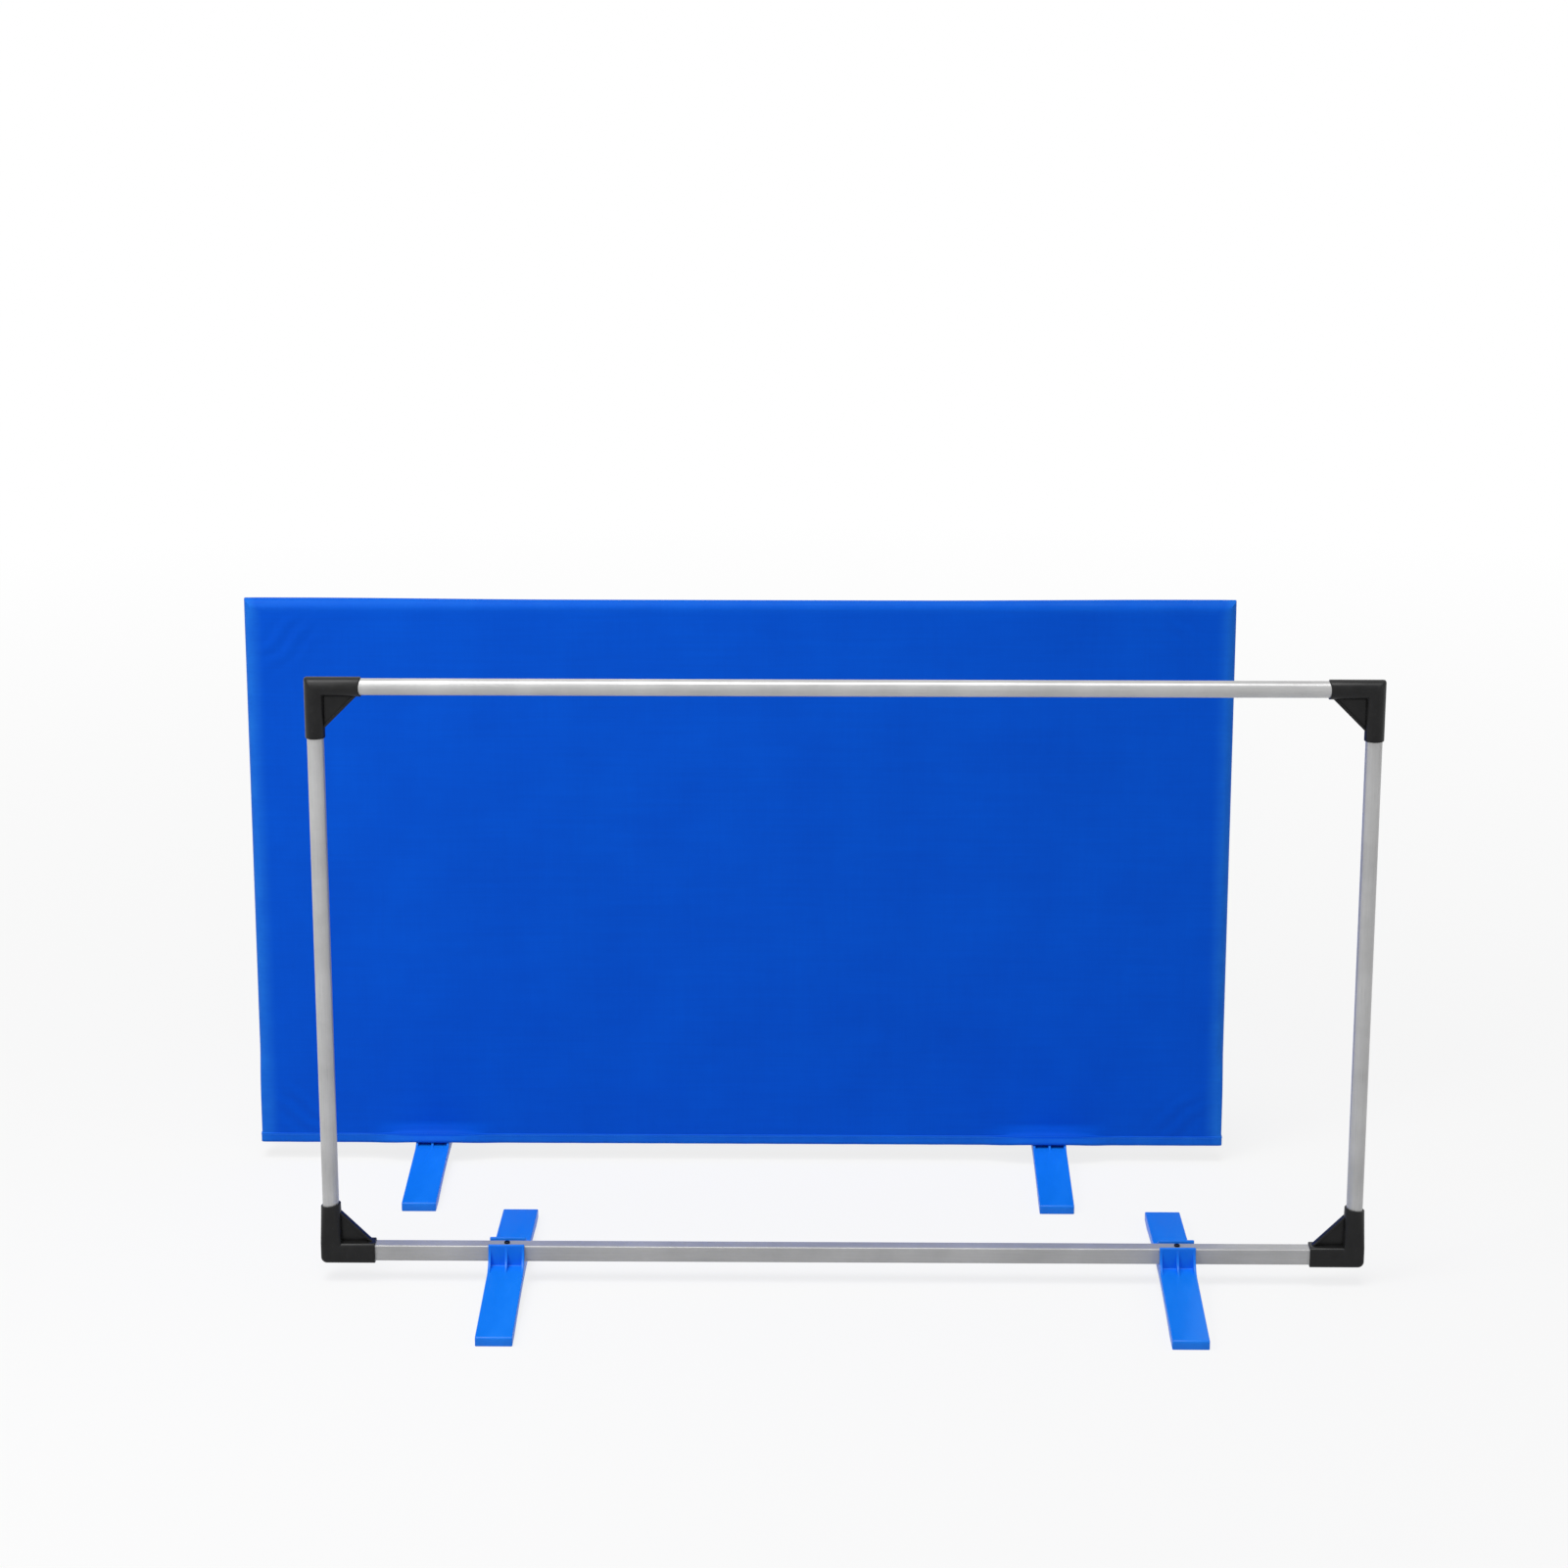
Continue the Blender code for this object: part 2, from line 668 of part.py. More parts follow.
def cover_layer(form, grown):
    """One face of the cloth, inner or outer; returns its open edge at the hem."""
    columns = cover_columns()
    levels = [None] + cover_levels()

    def height(x, row):
        return cover_hem_height(x) if levels[row] is None else levels[row]

    def depth(x, z):
        return cover_half_depth(x, z) + grown

    last_row = len(levels) - 1
    last_column = len(columns) - 1
    sheets = {}
    for facing in (-1, 1):
        for column, x in enumerate(columns):
            for row in range(len(levels)):
                z = height(x, row)
                sheets[facing, column, row] = form.verts.new((x, facing * depth(x, z), z))

    path = [(0, row, (-1, 0)) for row in range(last_row)]
    path.append((0, last_row, (-1, 1)))
    path += [(column, last_row, (0, 1)) for column in range(1, last_column)]
    path.append((last_column, last_row, (1, 1)))
    path += [(last_column, row, (1, 0)) for row in range(last_row)][::-1]

    fold = []
    for column, row, (sideways, upwards) in path:
        x = columns[column]
        z = height(x, row)
        half = depth(x, z)
        power = fold_power(z) if upwards == 0 else ROUND_FOLD_POWER
        strip = [sheets[-1, column, row]]
        for step in range(1, FOLD_STEPS):
            out, deep = fold_point(half, step / FOLD_STEPS * math.pi, power)
            strip.append(form.verts.new((x + sideways * out, deep, z + upwards * out)))
        strip.append(sheets[1, column, row])
        fold.append(strip)

    for near, far in zip(fold, fold[1:]):
        for step in range(FOLD_STEPS):
            form.faces.new((near[step], near[step + 1], far[step + 1], far[step]))
    for facing in (-1, 1):
        for column in range(last_column):
            for row in range(last_row):
                form.faces.new((
                    sheets[facing, column, row],
                    sheets[facing, column + 1, row],
                    sheets[facing, column + 1, row + 1],
                    sheets[facing, column, row + 1],
                ))
    front = [sheets[-1, column, 0] for column in range(len(columns))]
    back = [sheets[1, column, 0] for column in range(len(columns))]
    return front + fold[-1][1:-1] + back[::-1] + fold[0][1:-1][::-1]


def cover_mesh():
    form = bmesh.new()
    inner = cover_layer(form, 0.0)
    outer = cover_layer(form, COVER_CLOTH)
    for index in range(len(inner)):
        after = (index + 1) % len(inner)
        form.faces.new((inner[index], inner[after], outer[after], outer[index]))
    return new_mesh("cover", form, BLUE_CLOTH)


# Assembly

def build_frame(prefix, unit):
    tube = round_section(TUBE_RADIUS)
    tube_bore = round_section(TUBE_RADIUS - TUBE_WALL)
    rail = square_section(RAIL_HALF, RAIL_CORNER_RADIUS)
    rail_bore = square_section(RAIL_HALF - RAIL_WALL, RAIL_CORNER_RADIUS - RAIL_WALL)

    top_end = UPRIGHT_X + TOP_HALF - CORNER_BLOCK - TOUCH_GAP
    mesh = hollow_bar("top_tube", tube, tube_bore, -top_end, top_end, "X")
    new_object(prefix + "top_tube", mesh, unit, (0, 0, TOP_TUBE_Z))

    low = RAIL_Z - BOTTOM_HALF + CORNER_BLOCK + TOUCH_GAP
    high = TOP_TUBE_Z + TOP_HALF - CORNER_BLOCK - TOUCH_GAP
    mesh = hollow_bar("upright", tube, tube_bore, low, high, "Z")
    new_object(prefix + "left_upright", mesh, unit, (-UPRIGHT_X, 0, 0))
    new_object(prefix + "right_upright", mesh, unit, (UPRIGHT_X, 0, 0))

    rail_end = UPRIGHT_X + BOTTOM_HALF - CORNER_BLOCK - TOUCH_GAP
    mesh = hollow_bar("bottom_rail", rail, rail_bore, -rail_end, rail_end, "X")
    holes = []
    for side in (-1, 1):
        hole = round_section(SCREW_DIAMETER / 2 + TOUCH_GAP, SMALL_FACETS)
        centred = [(across + side * FOOT_SPACING / 2, deep) for across, deep in hole]
        drill = prism(centred, "Z", -RAIL_HALF - CUT_OVERRUN, RAIL_HALF + CUT_OVERRUN)
        holes.append(new_mesh("drill", drill, ALUMINIUM))
    mesh = joined(mesh, holes, "DIFFERENCE")
    new_object(prefix + "bottom_rail", mesh, unit, (0, 0, RAIL_Z))


def build_corners(prefix, unit):
    for word, side in (("left", -1), ("right", 1)):
        mesh = top_corner_mesh(f"top_{word}_corner", side)
        new_object(f"{prefix}top_{word}_corner", mesh, unit, (side * UPRIGHT_X, 0, TOP_TUBE_Z))
        mesh = bottom_corner_mesh(f"bottom_{word}_corner", side)
        new_object(f"{prefix}bottom_{word}_corner", mesh, unit, (side * UPRIGHT_X, 0, RAIL_Z))


def build_feet(prefix, unit):
    foot = foot_mesh("foot")
    screw = screw_mesh()
    washer_outline = round_section(WASHER_DIAMETER / 2, SMALL_FACETS)
    washer = ring_mesh("foot_washer", washer_outline, WASHER_THICKNESS)
    nut_outline = hexagon_section(NUT_WIDTH, SMALL_FACETS)
    nut = ring_mesh("foot_nut", nut_outline, NUT_HEIGHT)
    washer_z = NUT_POCKET_Z - TOUCH_GAP
    nut_z = washer_z - WASHER_THICKNESS - TOUCH_GAP
    for word, side in (("left", -1), ("right", 1)):
        x = side * FOOT_SPACING / 2
        new_object(f"{prefix}{word}_foot", foot, unit, (x, 0, 0))
        new_object(f"{prefix}{word}_foot_screw", screw, unit, (x, 0, RAIL_TOP_Z + TOUCH_GAP))
        new_object(f"{prefix}{word}_foot_washer", washer, unit, (x, 0, washer_z))
        new_object(f"{prefix}{word}_foot_nut", nut, unit, (x, 0, nut_z))


def build_barrier(prefix, place):
    unit = bpy.data.objects.new(prefix + "barrier", None)
    unit.location = place
    bpy.context.collection.objects.link(unit)
    build_frame(prefix, unit)
    build_corners(prefix, unit)
    build_feet(prefix, unit)
    return unit


def build():
    clear_scene()
    cover_side = UPRIGHT_X + cover_half_depth(UPRIGHT_X, COVER_HEM_HEIGHT) + COVER_CLOTH
    shift = (cover_side - FRAME_WIDTH / 2) / 2
    behind = (-ROW_STAGGER / 2 + shift, ROW_SPACING / 2, 0)
    in_front = (ROW_STAGGER / 2 + shift, -ROW_SPACING / 2, 0)
    dressed = build_barrier("dressed_", behind)
    build_barrier("bare_", in_front)
    new_object("dressed_cover", cover_mesh(), dressed)


build()
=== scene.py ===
"""Looks of two table tennis barriers in a row: one in its cloth cover, one bare in front of it.

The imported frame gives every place. Each solid of the frame is shown by a finer piece of the same
size: drawn aluminium tubes, moulded corners and feet, fasteners and a sewn cloth cover. Metres.
"""

import json
import math

import bmesh
import bpy
import numpy as np
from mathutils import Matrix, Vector

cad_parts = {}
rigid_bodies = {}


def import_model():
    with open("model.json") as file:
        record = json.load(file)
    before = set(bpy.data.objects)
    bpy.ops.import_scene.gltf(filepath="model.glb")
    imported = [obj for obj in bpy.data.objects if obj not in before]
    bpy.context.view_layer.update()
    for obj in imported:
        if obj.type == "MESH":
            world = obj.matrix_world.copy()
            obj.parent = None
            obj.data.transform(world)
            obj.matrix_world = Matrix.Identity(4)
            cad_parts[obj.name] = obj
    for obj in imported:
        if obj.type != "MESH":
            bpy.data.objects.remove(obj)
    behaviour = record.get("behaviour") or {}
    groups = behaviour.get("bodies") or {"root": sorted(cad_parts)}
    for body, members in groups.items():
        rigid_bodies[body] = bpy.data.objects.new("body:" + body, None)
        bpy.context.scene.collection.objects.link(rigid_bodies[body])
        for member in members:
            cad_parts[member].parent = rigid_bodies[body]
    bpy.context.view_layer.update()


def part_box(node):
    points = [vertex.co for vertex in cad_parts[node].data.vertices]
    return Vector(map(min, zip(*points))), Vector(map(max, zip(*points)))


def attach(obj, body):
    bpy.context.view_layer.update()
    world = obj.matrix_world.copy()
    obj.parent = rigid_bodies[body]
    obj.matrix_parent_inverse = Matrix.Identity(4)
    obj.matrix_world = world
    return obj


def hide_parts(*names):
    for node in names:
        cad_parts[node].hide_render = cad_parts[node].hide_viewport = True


for thing in list(bpy.data.objects):
    bpy.data.objects.remove(thing, do_unlink=True)

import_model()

# The two barriers: prefix of their nodes and the body that they ride on
BARRIERS = (("dressed_", "dressed_barrier"), ("bare_", "bare_barrier"))
SIDES = (("left", -1), ("right", 1))
COVER_NODE = "dressed_cover"
COVER_BODY = "cover"

# The frame's round solids have this many sides, with a flat side facing front
FRAME_FACETS = 24

# Tubes and rail
BAR_WALL = 0.0012
RAIL_CORNER_RADIUS = 0.0022
TUBE_END_ROUND = 0.0003
TUBE_FACETS = 64

# Corner sockets
SOCKET_CLEARANCE = 0.0003
CORNER_BLOCK = 0.031
TOP_SOCKET_SIZE = 0.026
BOTTOM_SOCKET_SIZE = 0.0285
BOTTOM_EDGE_RADIUS = 0.005
BOTTOM_MOUTH_SIZE = 0.0268
SOCKET_LIP = 0.0009
BORE_LIP = 0.0004
TOP_MOUTH_SCALLOP = 0.0030
BOTTOM_MOUTH_SLANT = 0.0022
TOP_CORNER_RADIUS = 0.0035
BOTTOM_CORNER_RADIUS = 0.0080
CORNER_ARC_POINTS = 9
SOCKET_FACETS = 4 * (CORNER_ARC_POINTS + 3)
ELBOW_STEPS = 8
EDGE_STEPS = 4
WELD_DISTANCE = 0.000005

# Webs between the sockets of a corner
WEB_LEG = 0.041
WEB_THICKNESS = 0.0032
WEB_RIM_WIDTH = 0.0034
WEB_RIM_THICKNESS = 0.0100
WEB_RIM_EDGE = 0.0009
WEB_EMBED = 0.0013

# Feet
FOOT_ROOT_HEIGHT = 0.0262
FOOT_TIP_HEIGHT = 0.013
FOOT_TIP_RADIUS = 0.0036
FOOT_SOLE_RADIUS = 0.0015
FOOT_EDGE_RADIUS = 0.0013
FOOT_PAD_LENGTH = 0.036
FOOT_ARCH_RISE = 0.012
SADDLE_WALL = 0.0042
SADDLE_TOP_RADIUS = 0.0016
SADDLE_FILLET = 0.0012
RIB_REACH = 0.030
RIB_THICKNESS = 0.0036
RIB_EDGE_RADIUS = 0.0008
RIB_EMBED = 0.0030
RIB_TOE_SINK = 0.00015
RIB_SIDE_STEP = 0.0001
CORE_SKIRT = 0.0040
CORE_SKIN = 0.0040
CORE_START = 0.038
CORE_LENGTH = 0.070
CORE_RIB = 0.0045
CORES_PER_ARM = 2
NUT_POCKET_DIAMETER = 0.0120
NUT_POCKET_DEPTH = 0.0085
CUT_OVERRUN = 0.004
ARC_STEPS = 5
ARCH_STEPS = 24
RIB_STEPS = 16

# Screws, washers and nuts
SCREW_DIAMETER = 0.0040
SCREW_CROWN = 0.0009
SCREW_SOCKET_WIDTH = 0.0025
SCREW_SOCKET_DEPTH = 0.0013
SCREW_HEAD_HEIGHT = 0.0024
SCREW_POINT = 0.0006
NUT_CHAMFER = 0.0005
FASTENER_FACETS = 36
FRAME_FASTENER_FACETS = 16
WASHER_EDGE_SHARE = 0.2
SCREW_HOLE_RADIUS = SCREW_DIAMETER / 2 + SOCKET_CLEARANCE

# Cloth cover
CLOTH_THICKNESS = 0.0005
CLOTH_EASE = 0.0008
HEM_RISE_AT_FOOT = 0.0048
FOOT_SPREAD = 0.075
LEAN_HEIGHT = 0.150
SOCKET_BLEND = 0.022
TOP_BLEND = 0.380
FOLD_BLEND = 0.060
HEM_BAND = 0.0130
HEM_STEP = 0.0009
HEM_PROUD = 0.0009
HEM_ROW_SHARES = (0.0, 0.33, 0.66)
STITCH_LINE = 0.0112
STITCH_PITCH = 0.0036
STITCH_LENGTH = 0.0027
STITCH_RADIUS = 0.00028
STITCH_SIDES = 6
STITCH_SEAT_SHARE = 0.35
STITCH_RINGS = ((-0.5, 0.25), (-0.38, 0.85), (0.0, 1.0), (0.38, 0.85), (0.5, 0.25))
FINE_SPACING = 0.0040
WIDE_SPACING = 0.0125
EDGE_ZONE = 0.170
FOLD_STEPS = 18
SQUARE_FOLD_POWER = 8.0
ROUND_FOLD_POWER = 2.0

# Relief of the cloth. Waves are (share, wavelength, direction, phase).
SLACK_DEPTH = 0.0011
SLACK_ZONE = 0.110
SLACK_SHIFT = 0.21
SLACK_WAVES = (
    (0.50, 0.610, 0.35, 0.4),
    (0.30, 0.370, 1.25, 2.1),
    (0.22, 0.240, -0.50, 4.0),
    (0.14, 0.150, 0.85, 1.3),
    (0.08, 0.090, -1.10, 5.2),
)
CREASE_DEPTH = 0.0013
CREASE_PITCH = 0.024
CREASE_PLACE = 0.062
CREASE_SPREAD = 0.034
CREASE_HALF_LENGTH = 0.050
CREASE_WOBBLE = 0.021
CREASE_START = 0.018
CREASE_CORNER_SHARES = (1.0, 0.8, 1.5, 0.9)
CREASE_CORNER_PHASE = 1.7
CREASE_FACING_PHASE = 0.9
CREASE_SECOND_WAVE = (0.6, 2.3)
PUCKER_DEPTH = 0.00030
PUCKER_LENGTH = 0.0110
PUCKER_WAVES = ((1.0, 0.046, 0.0, 0.7), (0.6, 0.071, 0.0, 2.0))
SEAM_GROOVE_DEPTH = 0.0008
SEAM_GROOVE_TURN = 0.10
SEAM_PULL = (0.6, 0.4)

# Aluminium: dark, middle and light shade, and how metallic. The rail is duller than the tubes.
TUBE_FINISH = ((0.42, 0.52, 0.60), 0.30)
RAIL_FINISH = ((0.36, 0.44, 0.51), 0.17)

# Fasteners: dark and light shade, roughness
DARK_STEEL = ((0.010, 0.010, 0.011), (0.030, 0.030, 0.032), 0.36)
ZINC_STEEL = ((0.40, 0.41, 0.42), (0.62, 0.63, 0.64), 0.32)

# Painted sheen: lighter cloth along the side folds, the top fold and the hem, where the cloth
# curves round the frame
PAINTED_SHEEN_SIDE_WIDTH = 0.026
PAINTED_SHEEN_TOP_WIDTH = 0.022
PAINTED_SHEEN_TOP_SHARE = 0.50
PAINTED_SHEEN_HEM_SHARE = 0.62
PAINTED_SHEEN_COLOUR = (0.014, 0.185, 0.790)

# Shading angle between smooth and sharp edges
SHARP_ANGLE = math.radians(34)

# Camera, at the photograph's viewing angle
CAMERA_PLACE = (0.055, -5.0, 1.986)
CAMERA_PITCH = math.radians(15.175)
CAMERA_TURN = math.radians(0.707)
CAMERA_LENS = 87.2
CAMERA_SENSOR = 36.0

# Studio
FLOOR_SIZE = 160.0
FLOOR_PAPER = (0.74, 0.74, 0.74)
FLOOR_NEAR_SHARE = 0.81
FLOOR_FADE_START = 1.2
FLOOR_FADE_END = 5.0
KEY_PLACE = (-1.25, -1.2, 1.95)
KEY_TARGET = (-0.05, 0.2, 0.6)
KEY_SIZE = 1.1
KEY_POWER = 16.5
STRIP_WIDTH = 0.25
STRIP_HEIGHT = 1.2
STRIPS = (
    ("left_strip", (-2.0, -2.2, 1.25), (0.1, -0.2, 0.4), 4.4),
    ("right_strip", (2.1, -1.2, 1.15), (0.5, 0.0, 0.42), 3.2),
)
SUN_DIRECTION = (-0.10, -0.18, 0.98)
SUN_STRENGTH = 1.68
SUN_ANGLE = math.radians(26)
SKY_STRENGTH = 0.24


def frame_centre(node):
    low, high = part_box(node)
    return (low + high) / 2


def frame_half(node, axis):
    low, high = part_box(node)
    return (high[axis] - low[axis]) / 2


FACET_SHARE = math.cos(math.pi / FRAME_FACETS)
TUBE_RADIUS = frame_half("bare_top_tube", 1) / FACET_SHARE
TUBE_BORE = TUBE_RADIUS + SOCKET_CLEARANCE
RAIL_HALF = frame_half("bare_bottom_rail", 1)
TOP_HALF = TOP_SOCKET_SIZE / 2
BOTTOM_HALF = BOTTOM_SOCKET_SIZE / 2
TOP_TUBE_Z = frame_centre("bare_top_tube").z
RAIL_Z = frame_centre("bare_bottom_rail").z
UPRIGHT_Z = frame_centre("bare_left_upright").z
UPRIGHT_X = (frame_centre("bare_right_upright").x - frame_centre("bare_left_upright").x) / 2
FOOT_X = (frame_centre("bare_right_foot").x - frame_centre("bare_left_foot").x) / 2
FOOT_HALF_WIDTH = frame_half("bare_left_foot", 0)
FOOT_REACH = frame_half("bare_left_foot", 1)
SADDLE_TOP_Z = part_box("bare_left_foot")[1].z
SADDLE_FLOOR_Z = RAIL_Z - RAIL_HALF - SOCKET_CLEARANCE
RAIL_BORE = RAIL_HALF + SOCKET_CLEARANCE
SADDLE_OUTER = RAIL_BORE + SADDLE_WALL
RIB_TOP_Z = SADDLE_TOP_Z - SADDLE_TOP_RADIUS
NUT_POCKET_Z = FOOT_ARCH_RISE + NUT_POCKET_DEPTH
TOP_ARM_ACROSS = 2 * frame_half("bare_top_left_corner", 0)
TOP_ARM_DOWN = 2 * frame_half("bare_top_left_corner", 2)
BOTTOM_ARM_ACROSS = 2 * frame_half("bare_bottom_left_corner", 0)
BOTTOM_ARM_UP = 2 * frame_half("bare_bottom_left_corner", 2) - BOTTOM_MOUTH_SLANT
HEM_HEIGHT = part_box(COVER_NODE)[0].z
COVER_TOP_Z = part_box(COVER_NODE)[1].z


def unit_place(prefix):
    """The middle of a barrier on the floor."""
    left = frame_centre(prefix + "left_upright")
    right = frame_centre(prefix + "right_upright")
    return Vector(((left.x + right.x) / 2, left.y, 0))


# Node trees. Every material is made of plain procedural nodes in object coordinates.

EVENLY = (1, 1, 1)


def feed(mat, value, socket):
    """Gives an input a field, a colour or another constant."""
    if isinstance(value, bpy.types.NodeSocket):
        mat.node_tree.links.new(value, socket)
    elif socket.type == "RGBA":
        socket.default_value = (*value, 1.0)
    else:
        socket.default_value = value


def add_node(mat, kind, inputs, **values):
    node = mat.node_tree.nodes.new(kind)
    for key, value in values.items():
        setattr(node, key, value)
    for key, value in inputs.items():
        feed(mat, value, node.inputs[key])
    return node


def new_material(name, metallic=0.0, specular=0.5):
    mat = bpy.data.materials.new(name)
    mat.use_nodes = True
    shader = mat.node_tree.nodes["Principled BSDF"]
    feed(mat, metallic, shader.inputs["Metallic"])
    feed(mat, specular, shader.inputs["Specular IOR Level"])
    return mat, shader


def maths(mat, operation, *values):
    inputs = dict(enumerate(values))
    return add_node(mat, "ShaderNodeMath", inputs, operation=operation).outputs[0]


def coordinates(mat, scale):
    """Object coordinates stretched by a scale for each axis."""
    place = add_node(mat, "ShaderNodeTexCoord", {}).outputs["Object"]
    mapping = add_node(mat, "ShaderNodeMapping", {"Vector": place, "Scale": scale})
    return mapping.outputs["Vector"]


def noise(mat, scale, stretch=EVENLY, detail=3.0, rough=0.5):
    return add_node(mat, "ShaderNodeTexNoise", {
        "Vector": coordinates(mat, stretch),
        "Scale": scale, "Detail": detail, "Roughness": rough,
    }).outputs["Fac"]


def ramp(mat, field, stops):
    """Colours along a field; stops are (place, colour)."""
    node = add_node(mat, "ShaderNodeValToRGB", {"Fac": field})
    elements = node.color_ramp.elements
    while len(elements) < len(stops):
        elements.new(0.5)
    for element, (place, colour) in zip(elements, stops):
        element.position = place
        element.color = (*colour, 1.0)
    return node.outputs["Color"]


def span(mat, field, low, high, from_low=0.3, from_high=0.7, kind="LINEAR"):
    return add_node(mat, "ShaderNodeMapRange", {
        "Value": field, "From Min": from_low, "From Max": from_high,
        "To Min": low, "To Max": high,
    }, interpolation_type=kind).outputs["Result"]


def mixed(mat, factor, first, second, blend="MIX"):
    inputs = {0: factor, 6: first, 7: second}
    node = add_node(mat, "ShaderNodeMix", inputs, data_type="RGBA", blend_type=blend)
    return node.outputs[2]


def finish_material(mat, shader, colour, roughness, bumps):
    """Sets colour and roughness, and chains bumps of (field, depth in metres, strength)."""
    normal = None
    for field, depth, strength in bumps:
        inputs = {"Height": field, "Distance": depth, "Strength": strength}
        if normal is not None:
            inputs["Normal"] = normal
        normal = add_node(mat, "ShaderNodeBump", inputs).outputs["Normal"]
    for key, value in (("Base Color", colour), ("Roughness", roughness), ("Normal", normal)):
        feed(mat, value, shader.inputs[key])
    return mat


def aluminium(name, along, shades, metallic):
    """Drawn aluminium: fine lines along the bar and soft stains."""
    mat, shader = new_material(name, metallic=metallic)
    lines = [0.012 if axis == along else 1.0 for axis in range(3)]
    drawn = noise(mat, 1500.0, lines, detail=4.0, rough=0.6)
    stains = noise(mat, 9.0, detail=5.0, rough=0.62)
    greys = [(grey, grey, grey) for grey in shades]
    base = ramp(mat, stains, list(zip((0.25, 0.55, 0.80), greys)))
    streaks = ramp(mat, drawn, ((0.30, (0.80, 0.80, 0.80)), (0.62, (1.0, 1.0, 1.0))))
    colour = mixed(mat, 0.55, base, streaks, "MULTIPLY")
    roughness = span(mat, drawn, 0.27, 0.40)
    return finish_material(mat, shader, colour, roughness, ((drawn, 0.00003, 0.12),))


def moulded_plastic(name, specular, noises, shades, scuffed, shine, bumps):
    """Moulded plastic: fine grain, soft patches of shade and dull scuffs."""
    mat, shader = new_material(name, specular=specular)
    grain, patches, scuffs = [noise(mat, *terms) for terms in noises]
    base = ramp(mat, patches, shades)
    worn = ramp(mat, scuffs, scuffed)
    colour = mixed(mat, 1.0, base, worn, "ADD")
    bumps = ((grain, *bumps[0]), (patches, *bumps[1]))
    return finish_material(mat, shader, colour, span(mat, patches, *shine), bumps)


def black_plastic():
    """The corners: spark grain, dull scuffs, a little dust."""
    return moulded_plastic(
        "moulded_black", 0.20,
        noises=((2600.0, EVENLY, 2.0), (55.0, EVENLY, 5.0, 0.65), (260.0, (1, 1, 0.35), 6.0, 0.7)),
        shades=(
            (0.30, (0.0070, 0.0070, 0.0073)),
            (0.62, (0.0120, 0.0120, 0.0123)),
            (0.78, (0.0175, 0.0174, 0.0172)),
        ),
        scuffed=((0.60, (0.0, 0.0, 0.0)), (0.76, (0.014, 0.014, 0.014))),
        shine=(0.28, 0.42), bumps=((0.00005, 0.22), (0.0002, 0.10)),
    )


def blue_plastic():
    """The feet: satin, with faint flow marks, scuffed a little."""
    return moulded_plastic(
        "moulded_blue", 0.22,
        noises=(
            (2200.0, EVENLY, 2.0), (22.0, (1, 0.35, 1), 4.0, 0.6), (320.0, (1, 0.22, 1), 6.0, 0.72),
        ),
        shades=(
            (0.25, (0.0030, 0.175, 0.800)),
            (0.55, (0.0045, 0.198, 0.860)),
            (0.80, (0.0080, 0.220, 0.900)),
        ),
        scuffed=((0.63, (0.0, 0.0, 0.0)), (0.78, (0.030, 0.045, 0.050))),
        shine=(0.31, 0.44), bumps=((0.00004, 0.18), (0.0004, 0.10)),
    )


def painted_sheen_share(mat):
    """Share of painted sheen on the cloth: most at the side folds, less at the top fold and at the
    hem.
    """
    place = add_node(mat, "ShaderNodeSeparateXYZ", {0: coordinates(mat, EVENLY)})
    across = maths(mat, "ABSOLUTE", place.outputs["X"])
    up = place.outputs["Z"]
    side = UPRIGHT_X + TUBE_RADIUS
    top = COVER_TOP_Z - CLOTH_EASE
    hem = HEM_HEIGHT + HEM_BAND
    total = 0.0
    # Each band lightens the cloth where it curves over the frame: a painted sheen.
    for field, share, start, end in (
        (across, 1.0, side - PAINTED_SHEEN_SIDE_WIDTH, side),
        (up, PAINTED_SHEEN_TOP_SHARE, COVER_TOP_Z - PAINTED_SHEEN_TOP_WIDTH, top),
        (up, PAINTED_SHEEN_HEM_SHARE, hem + HEM_STEP, hem),
    ):
        painted_fold_sheen = span(mat, field, 0.0, share, start, end, "SMOOTHSTEP")
        total = maths(mat, "MAXIMUM", total, painted_fold_sheen)
    patches = span(mat, noise(mat, 34.0, detail=4.0), 0.65, 1.0)
    return maths(mat, "MULTIPLY", total, patches)


